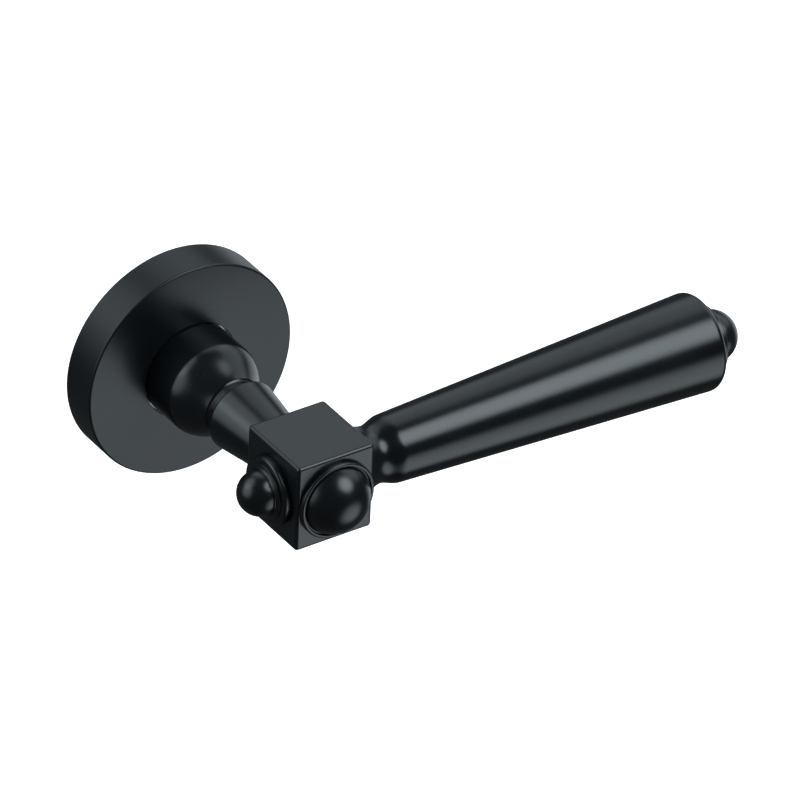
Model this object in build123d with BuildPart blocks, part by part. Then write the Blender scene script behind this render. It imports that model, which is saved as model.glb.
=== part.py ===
"""Door lever handle on a round sprung rose.

Frame, in millimetres: the origin is the centre of the rose's back face, on the spindle
axis. The door stands behind that face at +Y, the handle stands out of the door along -Y,
+Z is up and the grip points along +X. "Height" below is the distance out from the door.
"""

import os
from math import asin, cos, degrees, radians, sin, sqrt

from build123d import *

# ---------------------------------------------------------------- clearances
RUNNING_GAP = 0.05  # radial play of the turning shank in its bush
SLIDING_GAP = 0.05  # play between faces that slide on each other
SEAT_GAP = 0.03  # play of a pressed, threaded or seated fit
SPINDLE_GAP = 0.05  # play on each flat of the square spindle
COLLAR_GAP = 0.35  # hairline gap between the turning collar and the cover

# ---------------------------------------------------------------- rose
ROSE_RADIUS = 26.2
ROSE_HEIGHT = 9.4
COVER_WALL = 1.5
COVER_FACE = 1.6
COVER_EDGE_ROUND = 0.5
COVER_RIM_GAP = 0.25

PLATE_THICKNESS = 2.6
HUB_HEIGHT = 5.6
HUB_WALL = 2.2
CIRCLIP_POCKET_GAP = 0.4  # room round the washer
CIRCLIP_POCKET_DEPTH = 2.4

POST_SPACING = 38.0  # bolt-through centres, level with the spindle
POST_RADIUS = 3.75
POST_LENGTH = 3.8  # how far each post reaches into the door
POST_NECK_RADIUS = 2.9
POST_HEAD_RADIUS = 3.9
POST_HEAD_HEIGHT = 0.8
POST_BORE_RADIUS = 1.65  # tapping size of an M4 thread

WOODSCREW_SPACING = 37.0  # above and below the spindle
WOODSCREW_RADIUS = 1.9
WOODSCREW_HEAD_RADIUS = 3.6

SNAP_WIRE_RADIUS = 0.6
SNAP_RING_HEIGHT = 1.3
SNAP_GROOVE_WIDTH = 1.4
SNAP_GROOVE_DEPTH = 0.9
SNAP_RING_ARC = 325.0

# ---------------------------------------------------------------- bearing and shank
JOURNAL_RADIUS = 9.0
SHANK_RECESS = 0.2  # how far the shank stays short of the door
BUSH_WALL = 1.0
BUSH_FLANGE_INSET = 0.08  # from the edge of the hub
BUSH_FLANGE_HEIGHT = 0.7
CIRCLIP_GROOVE_DEPTH = 0.5
CIRCLIP_THICKNESS = 1.0
CIRCLIP_WIDTH = 2.17  # across its band
CIRCLIP_EYE_RADIUS = 1.5
CIRCLIP_EYE_HOLE = 0.7
CIRCLIP_OPENING = 34.0  # degrees
WASHER_THICKNESS = 0.8
WASHER_OVERHANG = 2.4  # beyond the shank

# ---------------------------------------------------------------- return spring and stops
LEVER_TRAVEL = 45.0  # degrees the lever turns
DRIVER_THICKNESS = 1.0
DRIVER_OVERHANG = 0.32  # beyond the hub
DRIVER_FLAT_DEPTH = 1.5  # of the two flats that key the driver to the shank
DRIVER_TAB_WIDTH = 3.2
DRIVER_TAB_OFFSET = 2.0  # of its inner face from the middle of the spring's wire
DRIVER_TAB_DEPTH = 1.4
DRIVER_TAB_DROP = 2.5
STOP_PIN_RADIUS = 1.0
STOP_PIN_TOP = 6.0
STOP_PIN_BASE = 0.3
SPRING_WIRE_RADIUS = 0.55
SPRING_PITCH = 1.2
SPRING_HUB_GAP = 1.17  # between the coil and the hub
SPRING_LEG_LENGTH = 4.4
SPRING_FLOOR_GAP = 0.15

# ---------------------------------------------------------------- neck
COLLAR_RADIUS = 11.35
COLLAR_HEIGHT = 17.6  # where the collar's cylinder starts to round over
LIP_STEP = 0.5  # radius of the bell's lip beyond the throat
LIP_HEIGHT = 26.4
LIP_SLOPE = 0.45  # radius that the bell loses per millimetre at its lip
THROAT_WALL = 0.9724  # round the corners of the spindle socket
THROAT_LENGTH = 3.2
SHOULDER_STEP = 1.9  # radius of the shoulder beyond the throat
SHOULDER_ROUND = 1.3
NECK_END_RADIUS = 6.2
SQUARE_TENON = 8.0
TENON_LENGTH = 5.0

# ---------------------------------------------------------------- corner block
BLOCK_BACK = 46.7  # height of the block's back face
BLOCK_WIDTH = 19.6  # along X
BLOCK_DEPTH = 19.95  # along Y
BLOCK_TALL = 21.45  # along Z
BLOCK_EDGE_ROUND = 0.85
BLOCK_SCREW_RADIUS = 2.5
BLOCK_SCREW_HEAD_RADIUS = 4.25
BLOCK_SCREW_HEAD_HEIGHT = 3.0
BLOCK_SCREW_CLEARANCE = 0.25
BLOCK_SCREW_BITE = 9.0  # length of its thread in the neck
BLOCK_SCREW_HEX = 3.0
COUNTERBORE_RADIUS = 5.0
COUNTERBORE_DEPTH = 5.75
SIDE_THREAD_DEPTH = 5.1

# ---------------------------------------------------------------- front dome
RIM_RADIUS = 9.3
RIM_HEIGHT = 1.3
RIM_WIDTH = 0.9
RIM_ROUND = 0.48
RIM_INNER_ROUND = 0.38
DOME_RADIUS = 8.2
DOME_BASE_HEIGHT = 0.75  # of the groove between rim and dome, above the block
DOME_RISE = 6.18
DOME_PLUG_LENGTH = 2.2

# ---------------------------------------------------------------- side finial
FINIAL_FOOT_RADIUS = 7.9
FINIAL_FOOT_HEIGHT = 1.8
FINIAL_FOOT_ROUND = 0.7
FINIAL_STEP_RADIUS = 6.4
FINIAL_STEP_HEIGHT = 2.15
FINIAL_COVE_ROUND = 0.9
FINIAL_BEAD_RADIUS = 5.5
FINIAL_BEAD_BASE = 2.55
FINIAL_BEAD_HEIGHT = 2.8
FINIAL_BALL_RADIUS = 5.2
FINIAL_BALL_HEIGHT = 2.95  # of the ball's centre above the block
FINIAL_STUD_RADIUS = 2.5

# ---------------------------------------------------------------- grip
GRIP_FOOT_RADIUS = 8.4
GRIP_WAIST_RADIUS = 6.62
GRIP_WAIST_DISTANCE = 6.28  # from the block's face
GRIP_CONE_DISTANCE = 10.58
GRIP_CONE_RADIUS = 7.78
GRIP_LENGTH = 93.2
GRIP_END_RADIUS = 11.48
GRIP_END_ROUND = 1.65
END_RING_RADIUS = 8.1
END_RING_FLANGE = 2.2  # thickness of its flange, next to the grip
END_RING_NECK_RADIUS = 6.9
END_RING_WIDTH = 2.6
END_RING_ROUND = 0.3
CAP_RADIUS = 6.15
CAP_CENTRE_LIFT = 0.3
TIE_ROD_RADIUS = 3.0
TIE_ROD_END_BITE = 4.0  # length of its thread in the end cap

# ---------------------------------------------------------------- spindle and grub screws
SPINDLE_SIZE = 8.0
SPINDLE_REACH = 18.0  # how far it stands out behind the rose
SPINDLE_SOCKET_TOP = 39.5
SPINDLE_END_GAP = 0.5
SPINDLE_CHAMFER = 0.6
SPINDLE_GRUB_HEIGHT = 34.2
SPINDLE_GRUB_RADIUS = 2.5
SPINDLE_GRUB_RECESS = 0.52  # of its end below the surface of the neck
SPINDLE_GRUB_HEX = 2.5
GRIP_GRUB_INSET = 2.6  # of its axis from the block's grip face
GRIP_GRUB_RADIUS = 2.0
GRIP_GRUB_HEX = 2.0
GRUB_RECESS = 0.6
HEX_DEPTH = 1.8

# ---------------------------------------------------------------- places worked out from the sizes
cover_cavity_radius = ROSE_RADIUS - COVER_WALL
plate_radius = cover_cavity_radius - COVER_RIM_GAP
bush_bore = JOURNAL_RADIUS + RUNNING_GAP
bush_radius = bush_bore + BUSH_WALL
hub_bore = bush_radius + SEAT_GAP
hub_radius = hub_bore + HUB_WALL
bush_flange_radius = hub_radius - BUSH_FLANGE_INSET
bush_top = HUB_HEIGHT + BUSH_FLANGE_HEIGHT
driver_radius = hub_radius + DRIVER_OVERHANG
driver_flats = 2 * (JOURNAL_RADIUS - DRIVER_FLAT_DEPTH)
spring_coil_radius = hub_radius + SPRING_HUB_GAP + SPRING_WIRE_RADIUS
tab_inner = spring_coil_radius + DRIVER_TAB_OFFSET
tab_outer = tab_inner + DRIVER_TAB_DEPTH
driver_base = bush_top + SLIDING_GAP
collar_seat = driver_base + DRIVER_THICKNESS
snap_ring_radius = plate_radius - SNAP_GROOVE_DEPTH + SEAT_GAP + SNAP_WIRE_RADIUS
washer_radius = JOURNAL_RADIUS + WASHER_OVERHANG
circlip_pocket_radius = washer_radius + CIRCLIP_POCKET_GAP
circlip_groove_radius = JOURNAL_RADIUS - CIRCLIP_GROOVE_DEPTH
circlip_bore = circlip_groove_radius + SEAT_GAP
circlip_radius = circlip_bore + CIRCLIP_WIDTH
washer_top = CIRCLIP_POCKET_DEPTH - SLIDING_GAP
circlip_top = washer_top - WASHER_THICKNESS
throat_radius = (SPINDLE_SIZE / 2 + SPINDLE_GAP) * sqrt(2) + THROAT_WALL
lip_radius = throat_radius + LIP_STEP
shoulder_radius = throat_radius + SHOULDER_STEP
throat_top = LIP_HEIGHT + THROAT_LENGTH
tenon_top = BLOCK_BACK + TENON_LENGTH
block_centre = BLOCK_BACK + BLOCK_DEPTH / 2
block_front = BLOCK_BACK + BLOCK_DEPTH
block_side = BLOCK_WIDTH / 2
screw_seat = block_front - COUNTERBORE_DEPTH
grip_end = block_side + GRIP_LENGTH
cap_base = grip_end + END_RING_WIDTH
cap_centre = cap_base + CAP_CENTRE_LIFT

# Turned pieces on the spindle axis: local X is the radius, local Y the height.
turning_plane = Plane(origin=(0, 0, 0), x_dir=(1, 0, 0), z_dir=(0, 0, -1))
spindle_axis = Axis((0, 0, 0), (0, -1, 0))
# Turned pieces on the grip axis: local X is the place along +X, local Y the radius.
grip_plane = Plane(origin=(0, -block_centre, 0), x_dir=(1, 0, 0), z_dir=(0, 0, 1))
grip_axis = Axis((0, -block_centre, 0), (1, 0, 0))


def face_plane(height, turn=0.0):
    """Plane parallel to the door at a height, facing out, its local X turned from +X to +Z."""
    local_x = (cos(radians(turn)), 0, sin(radians(turn)))
    return Plane(origin=(0, -height, 0), x_dir=local_x, z_dir=(0, -1, 0))


def side_plane(distance):
    """Plane across the grip axis at a place along +X, facing +X, local X along +Y."""
    return Plane(origin=(distance, -block_centre, 0), x_dir=(0, 1, 0), z_dir=(1, 0, 0))


def underside_plane(x, height, depth):
    """Plane below the spindle axis, facing down, for pieces that go in from underneath."""
    return Plane(origin=(x, -height, -depth), x_dir=(1, 0, 0), z_dir=(0, 0, -1))


os.makedirs("parts", exist_ok=True)

# ================================================================ the rose, fixed to the door

# Turned cover: a shallow cup, open towards the door, with a bore for the collar.
with BuildPart() as rose_cover:
    with BuildSketch(face_plane(0)):
        Circle(ROSE_RADIUS)
    extrude(amount=ROSE_HEIGHT)
    front_edge = rose_cover.edges().filter_by(GeomType.CIRCLE).sort_by(Axis.Y)[0]
    fillet(front_edge, COVER_EDGE_ROUND)
    with BuildSketch(face_plane(0)):
        Circle(cover_cavity_radius)
    extrude(amount=ROSE_HEIGHT - COVER_FACE, mode=Mode.SUBTRACT)
    with BuildSketch(face_plane(0)):
        Circle(COLLAR_RADIUS + COLLAR_GAP)
    extrude(amount=ROSE_HEIGHT, mode=Mode.SUBTRACT)
    # Groove that the snap ring springs into.
    with BuildSketch(face_plane(SNAP_RING_HEIGHT - SNAP_GROOVE_WIDTH / 2)):
        Circle(snap_ring_radius + SNAP_WIRE_RADIUS + SEAT_GAP)
    extrude(amount=SNAP_GROOVE_WIDTH, mode=Mode.SUBTRACT)
rose_cover.part.label = "rose_cover"
export_step(rose_cover.part, "parts/rose_cover.step")

# The tab on the driver swings across the top of the rose between two stop pins.
tab_mid_radius = (tab_inner + tab_outer) / 2
tab_rest_angle = 90 + LEVER_TRAVEL / 2
tab_end_angle = tab_rest_angle - LEVER_TRAVEL
rest_pin_offset = DRIVER_TAB_WIDTH / 2 + STOP_PIN_RADIUS + SLIDING_GAP
end_pin_offset = rest_pin_offset + 2 * SPRING_WIRE_RADIUS + SEAT_GAP
rest_pin_angle = tab_rest_angle + degrees(asin(rest_pin_offset / tab_mid_radius))
end_pin_angle = tab_end_angle - degrees(asin(end_pin_offset / tab_mid_radius))
stop_pin_angles = (rest_pin_angle, end_pin_angle)

# Base plate with the hub that carries the bush.
with BuildPart() as base_plate:
    with BuildSketch(face_plane(0)):
        Circle(plate_radius)
    extrude(amount=PLATE_THICKNESS)
    with BuildSketch(face_plane(PLATE_THICKNESS)):
        Circle(hub_radius)
    extrude(amount=HUB_HEIGHT - PLATE_THICKNESS)
    with BuildSketch(face_plane(0)):
        Circle(hub_bore)
    extrude(amount=HUB_HEIGHT, mode=Mode.SUBTRACT)
    with BuildSketch(face_plane(0)):
        Circle(circlip_pocket_radius)
    extrude(amount=CIRCLIP_POCKET_DEPTH, mode=Mode.SUBTRACT)
    with BuildSketch(face_plane(SNAP_RING_HEIGHT - SNAP_GROOVE_WIDTH / 2)):
        Circle(plate_radius + 1)
        Circle(plate_radius - SNAP_GROOVE_DEPTH, mode=Mode.SUBTRACT)
    extrude(amount=SNAP_GROOVE_WIDTH, mode=Mode.SUBTRACT)
    with BuildSketch(face_plane(0)):
        with GridLocations(POST_SPACING, 0, 2, 1):
            Circle(POST_NECK_RADIUS + SEAT_GAP)
        for pin_angle in stop_pin_angles:
            with PolarLocations(tab_mid_radius, 1, start_angle=pin_angle):
                Circle(STOP_PIN_RADIUS + SEAT_GAP)
    extrude(amount=PLATE_THICKNESS, mode=Mode.SUBTRACT)
    with Locations(face_plane(PLATE_THICKNESS)):
        with GridLocations(0, WOODSCREW_SPACING, 1, 2):
            CounterSinkHole(WOODSCREW_RADIUS, WOODSCREW_HEAD_RADIUS, depth=PLATE_THICKNESS)
base_plate.part.label = "base_plate"
export_step(base_plate.part, "parts/base_plate.step")

# Two threaded posts, swaged into the plate, that reach into the door for the through bolts.
with BuildPart() as fixing_posts:
    with BuildSketch(face_plane(-POST_LENGTH)):
        with GridLocations(POST_SPACING, 0, 2, 1):
            Circle(POST_RADIUS)
    extrude(amount=POST_LENGTH)
    with BuildSketch(face_plane(0)):
        with GridLocations(POST_SPACING, 0, 2, 1):
            Circle(POST_NECK_RADIUS)
    extrude(amount=PLATE_THICKNESS)
    with BuildSketch(face_plane(PLATE_THICKNESS)):
        with GridLocations(POST_SPACING, 0, 2, 1):
            Circle(POST_HEAD_RADIUS)
    extrude(amount=POST_HEAD_HEIGHT)
    post_ends = fixing_posts.edges().filter_by(GeomType.CIRCLE).group_by(Axis.Y)[-1]
    chamfer(post_ends, 0.5)
    with BuildSketch(face_plane(-POST_LENGTH)):
        with GridLocations(POST_SPACING, 0, 2, 1):
            Circle(POST_BORE_RADIUS)
    extrude(amount=POST_LENGTH + PLATE_THICKNESS + POST_HEAD_HEIGHT, mode=Mode.SUBTRACT)
fixing_posts.part.label = "fixing_posts"
export_step(fixing_posts.part, "parts/fixing_posts.step")

# Flanged plain bush: the sleeve carries the shank and the flange carries the driver.
with BuildPart() as bearing_bush:
    with BuildSketch(face_plane(CIRCLIP_POCKET_DEPTH)):
        Circle(bush_radius)
    extrude(amount=HUB_HEIGHT - CIRCLIP_POCKET_DEPTH)
    with BuildSketch(face_plane(HUB_HEIGHT)):
        Circle(bush_flange_radius)
    extrude(amount=BUSH_FLANGE_HEIGHT)
    with BuildSketch(face_plane(CIRCLIP_POCKET_DEPTH)):
        Circle(bush_bore)
    extrude(amount=bush_top - CIRCLIP_POCKET_DEPTH, mode=Mode.SUBTRACT)
bearing_bush.part.label = "bearing_bush"
export_step(bearing_bush.part, "parts/bearing_bush.step")

# Split wire ring in the plate's rim that holds the cover on.
with BuildPart() as snap_ring:
    with BuildSketch(turning_plane):
        with Locations((snap_ring_radius, SNAP_RING_HEIGHT)):
            Circle(SNAP_WIRE_RADIUS)
    revolve(axis=spindle_axis, revolution_arc=SNAP_RING_ARC)
snap_ring.part.label = "snap_ring"
export_step(snap_ring.part, "parts/snap_ring.step")

# Two pins pressed into the plate: the lever's rest stop and its end stop.
with BuildPart() as stop_pins:
    with BuildSketch(face_plane(STOP_PIN_BASE)):
        for pin_angle in stop_pin_angles:
            with PolarLocations(tab_mid_radius, 1, start_angle=pin_angle):
                Circle(STOP_PIN_RADIUS)
    extrude(amount=STOP_PIN_TOP - STOP_PIN_BASE)
    pin_tops = stop_pins.edges().filter_by(GeomType.CIRCLE).group_by(Axis.Y)[0]
    chamfer(pin_tops, 0.2)
stop_pins.part.label = "stop_pins"
export_step(stop_pins.part, "parts/stop_pins.step")

# Torsion spring round the hub: one leg on the end stop pin, the other on the driver's tab.
fixed_leg_offset = STOP_PIN_RADIUS + SPRING_WIRE_RADIUS + SEAT_GAP
moving_leg_offset = DRIVER_TAB_WIDTH / 2 + SPRING_WIRE_RADIUS + SEAT_GAP
fixed_leg_angle = end_pin_angle + degrees(asin(fixed_leg_offset / tab_mid_radius))
moving_leg_angle = tab_rest_angle - degrees(asin(moving_leg_offset / tab_mid_radius))
coil_degrees = 720 - (moving_leg_angle - fixed_leg_angle)
coil_height = SPRING_PITCH * coil_degrees / 360
coil_base = PLATE_THICKNESS + SPRING_FLOOR_GAP + SPRING_WIRE_RADIUS
coil_top = coil_base + coil_height
coil_helix = Helix(SPRING_PITCH, coil_height, spring_coil_radius, lefthand=True)
coil_path = coil_helix.moved(face_plane(coil_base, fixed_leg_angle).location)
with BuildPart() as return_spring:
    with BuildSketch(Plane(coil_path @ 0, z_dir=coil_path % 0)):
        Circle(SPRING_WIRE_RADIUS)
    sweep(path=coil_path, is_frenet=True)
    for leg_angle, leg_height in ((fixed_leg_angle, coil_base), (moving_leg_angle, coil_top)):
        leg_frame = face_plane(leg_height, leg_angle)
        leg_start = leg_frame.from_local_coords((spring_coil_radius, 0, 0))
        with Locations(Location(leg_start)):
            Sphere(SPRING_WIRE_RADIUS)
        with BuildSketch(Plane(leg_start, z_dir=leg_frame.x_dir)):
            Circle(SPRING_WIRE_RADIUS)
        extrude(amount=SPRING_LEG_LENGTH)
return_spring.part.label = "return_spring"
export_step(return_spring.part, "parts/return_spring.step")

# ================================================================ the lever, turning in the rose

# Neck: shank, collar, throat and taper turned in one piece, with a square tenon.
with BuildPart() as lever_neck:
    with BuildSketch(turning_plane):
        with BuildLine():
            Polyline(
                (0, SHANK_RECESS),
                (JOURNAL_RADIUS, SHANK_RECESS),
                (JOURNAL_RADIUS, collar_seat),
                (COLLAR_RADIUS, collar_seat),
                (COLLAR_RADIUS, COLLAR_HEIGHT),
            )
            Spline(
                (COLLAR_RADIUS, COLLAR_HEIGHT),
                (lip_radius, LIP_HEIGHT),
                tangents=[(0, 1), (-LIP_SLOPE, 1)],
            )
            Polyline(
                (lip_radius, LIP_HEIGHT),
                (throat_radius, LIP_HEIGHT),
                (throat_radius, throat_top),
                (shoulder_radius, throat_top),
                (NECK_END_RADIUS, BLOCK_BACK),
                (0, BLOCK_BACK),
                (0, SHANK_RECESS),
            )
        make_face()
    revolve(axis=spindle_axis)
    shoulder_edge = (
        lever_neck.edges()
        .filter_by(GeomType.CIRCLE)
        .filter_by(lambda edge: abs(edge.radius - shoulder_radius) < 0.01)
    )
    fillet(shoulder_edge, SHOULDER_ROUND)
    # Groove for the circlip, and flats that key the driver.
    with BuildSketch(face_plane(circlip_top - CIRCLIP_THICKNESS - SLIDING_GAP)):
        Circle(JOURNAL_RADIUS + 1)
        Circle(circlip_groove_radius, mode=Mode.SUBTRACT)
    extrude(amount=CIRCLIP_THICKNESS + 2 * SLIDING_GAP, mode=Mode.SUBTRACT)
    with BuildSketch(face_plane(driver_base)):
        Circle(JOURNAL_RADIUS + 1)
        Rectangle(2 * JOURNAL_RADIUS + 4, driver_flats, mode=Mode.SUBTRACT)
    extrude(amount=DRIVER_THICKNESS, mode=Mode.SUBTRACT)
    # Square tenon for the block, its tapped hole, and the square spindle socket.
    with BuildSketch(face_plane(BLOCK_BACK)):
        Rectangle(SQUARE_TENON, SQUARE_TENON)
    extrude(amount=TENON_LENGTH)
    with BuildSketch(face_plane(tenon_top)):
        Circle(BLOCK_SCREW_RADIUS + SEAT_GAP)
    extrude(amount=-(BLOCK_SCREW_BITE + 1), mode=Mode.SUBTRACT)
    with BuildSketch(face_plane(SHANK_RECESS)):
        Rectangle(SPINDLE_SIZE + 2 * SPINDLE_GAP, SPINDLE_SIZE + 2 * SPINDLE_GAP)
    extrude(amount=SPINDLE_SOCKET_TOP - SHANK_RECESS, mode=Mode.SUBTRACT)
    with BuildSketch(underside_plane(0, SPINDLE_GRUB_HEIGHT, 0)):
        Circle(SPINDLE_GRUB_RADIUS + SEAT_GAP)
    extrude(amount=shoulder_radius + 1, mode=Mode.SUBTRACT)
lever_neck.part.label = "lever_neck"
export_step(lever_neck.part, "parts/lever_neck.step")

# Driver plate, keyed to the shank, whose bent tab winds the spring and meets the stops.
with BuildPart() as spring_driver:
    with BuildSketch(face_plane(driver_base)) as driver_outline:
        Circle(driver_radius)
        with Locations(Location((0, 0, 0), (0, 0, tab_rest_angle))):
            with Locations((tab_outer / 2, 0)):
                Rectangle(tab_outer, DRIVER_TAB_WIDTH)
        with BuildSketch(mode=Mode.SUBTRACT):
            Circle(JOURNAL_RADIUS + SEAT_GAP)
            Rectangle(4 * JOURNAL_RADIUS, driver_flats + 2 * SEAT_GAP, mode=Mode.INTERSECT)
    extrude(amount=DRIVER_THICKNESS)
    with BuildSketch(face_plane(driver_base)):
        with Locations(Location((0, 0, 0), (0, 0, tab_rest_angle))):
            with Locations((tab_mid_radius, 0)):
                Rectangle(DRIVER_TAB_DEPTH, DRIVER_TAB_WIDTH)
    extrude(amount=-DRIVER_TAB_DROP)
spring_driver.part.label = "spring_driver"
export_step(spring_driver.part, "parts/spring_driver.step")

# Thrust washer that runs against the floor of the plate's pocket.
with BuildPart() as thrust_washer:
    with BuildSketch(face_plane(circlip_top)):
        Circle(washer_radius)
        Circle(JOURNAL_RADIUS + SEAT_GAP, mode=Mode.SUBTRACT)
    extrude(amount=WASHER_THICKNESS)
thrust_washer.part.label = "thrust_washer"
export_step(thrust_washer.part, "parts/thrust_washer.step")

# Circlip with two eyes beside its opening.
eye_centre_radius = (circlip_groove_radius + circlip_radius) / 2
circlip_base = circlip_top - CIRCLIP_THICKNESS
with BuildPart() as circlip:
    with BuildSketch(face_plane(circlip_base)):
        Circle(circlip_radius)
        with BuildSketch(mode=Mode.SUBTRACT):
            with BuildLine():
                opening_start = PolarLine((0, 0), 2 * circlip_radius, -90 - CIRCLIP_OPENING / 2)
                opening_end = PolarLine((0, 0), 2 * circlip_radius, -90 + CIRCLIP_OPENING / 2)
                Line(opening_start @ 1, opening_end @ 1)
            make_face()
        for side in (-1, 1):
            with PolarLocations(eye_centre_radius, 1, start_angle=-90 + side * CIRCLIP_OPENING / 2):
                Circle(CIRCLIP_EYE_RADIUS)
        Circle(circlip_bore, mode=Mode.SUBTRACT)
        for side in (-1, 1):
            with PolarLocations(eye_centre_radius, 1, start_angle=-90 + side * CIRCLIP_OPENING / 2):
                Circle(CIRCLIP_EYE_HOLE, mode=Mode.SUBTRACT)
    extrude(amount=CIRCLIP_THICKNESS)
circlip.part.label = "circlip"
export_step(circlip.part, "parts/circlip.step")

# Square spindle that turns the lock's follower.
spindle_length = SPINDLE_REACH + SPINDLE_SOCKET_TOP - SPINDLE_END_GAP
with BuildPart() as spindle:
    with BuildSketch(face_plane(-SPINDLE_REACH)):
        Rectangle(SPINDLE_SIZE, SPINDLE_SIZE)
    extrude(amount=spindle_length)
    spindle_ends = spindle.faces().filter_by(Axis.Y).edges()
    chamfer(spindle_ends, SPINDLE_CHAMFER)
spindle.part.label = "spindle"
export_step(spindle.part, "parts/spindle.step")

# Grub screw under the neck that clamps the spindle.
spindle_face = SPINDLE_SIZE / 2 + SEAT_GAP
neck_taper = (shoulder_radius - NECK_END_RADIUS) / (BLOCK_BACK - throat_top)
neck_at_grub = shoulder_radius - neck_taper * (SPINDLE_GRUB_HEIGHT - throat_top)
spindle_grub_length = neck_at_grub - spindle_face - SPINDLE_GRUB_RECESS
with BuildPart() as spindle_grub_screw:
    with BuildSketch(underside_plane(0, SPINDLE_GRUB_HEIGHT, spindle_face)):
        Circle(SPINDLE_GRUB_RADIUS)
    extrude(amount=spindle_grub_length)
    with BuildSketch(underside_plane(0, SPINDLE_GRUB_HEIGHT, spindle_face + spindle_grub_length)):
        RegularPolygon(SPINDLE_GRUB_HEX / 2, 6, major_radius=False)
    extrude(amount=-HEX_DEPTH, mode=Mode.SUBTRACT)
spindle_grub_screw.part.label = "spindle_grub_screw"
export_step(spindle_grub_screw.part, "parts/spindle_grub_screw.step")

# Corner block, bored for the neck, the dome, the finial and the grip.
grip_grub_place = block_side - GRIP_GRUB_INSET
with BuildPart() as corner_block:
    with BuildSketch(face_plane(BLOCK_BACK)):
        Rectangle(BLOCK_WIDTH, BLOCK_TALL)
    extrude(amount=BLOCK_DEPTH)
    fillet(corner_block.edges(), BLOCK_EDGE_ROUND)
    with BuildSketch(face_plane(BLOCK_BACK)):
        Rectangle(SQUARE_TENON + 2 * SEAT_GAP, SQUARE_TENON + 2 * SEAT_GAP)
    extrude(amount=TENON_LENGTH + SEAT_GAP, mode=Mode.SUBTRACT)
    with BuildSketch(face_plane(BLOCK_BACK)):
        Circle(BLOCK_SCREW_RADIUS + BLOCK_SCREW_CLEARANCE)
    extrude(amount=BLOCK_DEPTH, mode=Mode.SUBTRACT)
    with BuildSketch(face_plane(screw_seat)):
        Circle(COUNTERBORE_RADIUS)
    extrude(amount=COUNTERBORE_DEPTH, mode=Mode.SUBTRACT)
    with BuildSketch(side_plane(-block_side)):
        Circle(FINIAL_STUD_RADIUS + SEAT_GAP)
    extrude(amount=SIDE_THREAD_DEPTH, mode=Mode.SUBTRACT)
    with BuildSketch(side_plane(block_side)):
        Circle(TIE_ROD_RADIUS + SEAT_GAP)
    extrude(amount=-SIDE_THREAD_DEPTH, mode=Mode.SUBTRACT)
    with BuildSketch(underside_plane(grip_grub_place, block_centre, 0)):
        Circle(GRIP_GRUB_RADIUS + SEAT_GAP)
    extrude(amount=BLOCK_TALL / 2, mode=Mode.SUBTRACT)
corner_block.part.label = "corner_block"
export_step(corner_block.part, "parts/corner_block.step")

# Screw under the dome that draws the block onto the neck's tenon.
block_screw_tip = tenon_top - BLOCK_SCREW_BITE
with BuildPart() as block_screw:
    with BuildSketch(face_plane(screw_seat)):
        Circle(BLOCK_SCREW_HEAD_RADIUS)
    extrude(amount=BLOCK_SCREW_HEAD_HEIGHT)
    with BuildSketch(face_plane(block_screw_tip)):
        Circle(BLOCK_SCREW_RADIUS)
    extrude(amount=screw_seat - block_screw_tip)
    with BuildSketch(face_plane(screw_seat + BLOCK_SCREW_HEAD_HEIGHT)):
        RegularPolygon(BLOCK_SCREW_HEX / 2, 6, major_radius=False)
    extrude(amount=-HEX_DEPTH, mode=Mode.SUBTRACT)
block_screw.part.label = "block_screw"
export_step(block_screw.part, "parts/block_screw.step")

# Domed cap that plugs the block's front bore.
rim_top = block_front + RIM_HEIGHT
rim_inner_radius = RIM_RADIUS - RIM_WIDTH
dome_base = block_front + DOME_BASE_HEIGHT
dome_top = dome_base + DOME_RISE
dome_sphere = (DOME_RADIUS**2 + DOME_RISE**2) / (2 * DOME_RISE)
dome_centre = dome_top - dome_sphere
dome_half_angle = asin(DOME_RADIUS / dome_sphere) / 2
with BuildPart() as front_dome:
    with BuildSketch(turning_plane):
        with BuildLine():
            Polyline(
                (0, block_front - DOME_PLUG_LENGTH),
                (COUNTERBORE_RADIUS - SEAT_GAP, block_front - DOME_PLUG_LENGTH),
                (COUNTERBORE_RADIUS - SEAT_GAP, block_front),
                (RIM_RADIUS, block_front),
                (RIM_RADIUS, rim_top),
                (rim_inner_radius, rim_top),
                (rim_inner_radius, dome_base),
                (DOME_RADIUS, dome_base),
            )
            ThreePointArc(
                (DOME_RADIUS, dome_base),
                (dome_sphere * sin(dome_half_angle), dome_centre + dome_sphere * cos(dome_half_angle)),
                (0, dome_top),
            )
            Line((0, dome_top), (0, block_front - DOME_PLUG_LENGTH))
        make_face()
    revolve(axis=spindle_axis)
    rim_edge = front_dome.edges().filter_by(GeomType.CIRCLE).filter_by(
        lambda edge: abs(edge.radius - RIM_RADIUS) < 0.01
    )
    fillet(rim_edge.sort_by(Axis.Y)[0], RIM_ROUND)
    inner_edge = front_dome.edges().filter_by(GeomType.CIRCLE).filter_by(
        lambda edge: abs(edge.radius - rim_inner_radius) < 0.01
    )
    fillet(inner_edge.sort_by(Axis.Y)[0], RIM_INNER_ROUND)
front_dome.part.label = "front_dome"
export_step(front_dome.part, "parts/front_dome.step")

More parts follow.
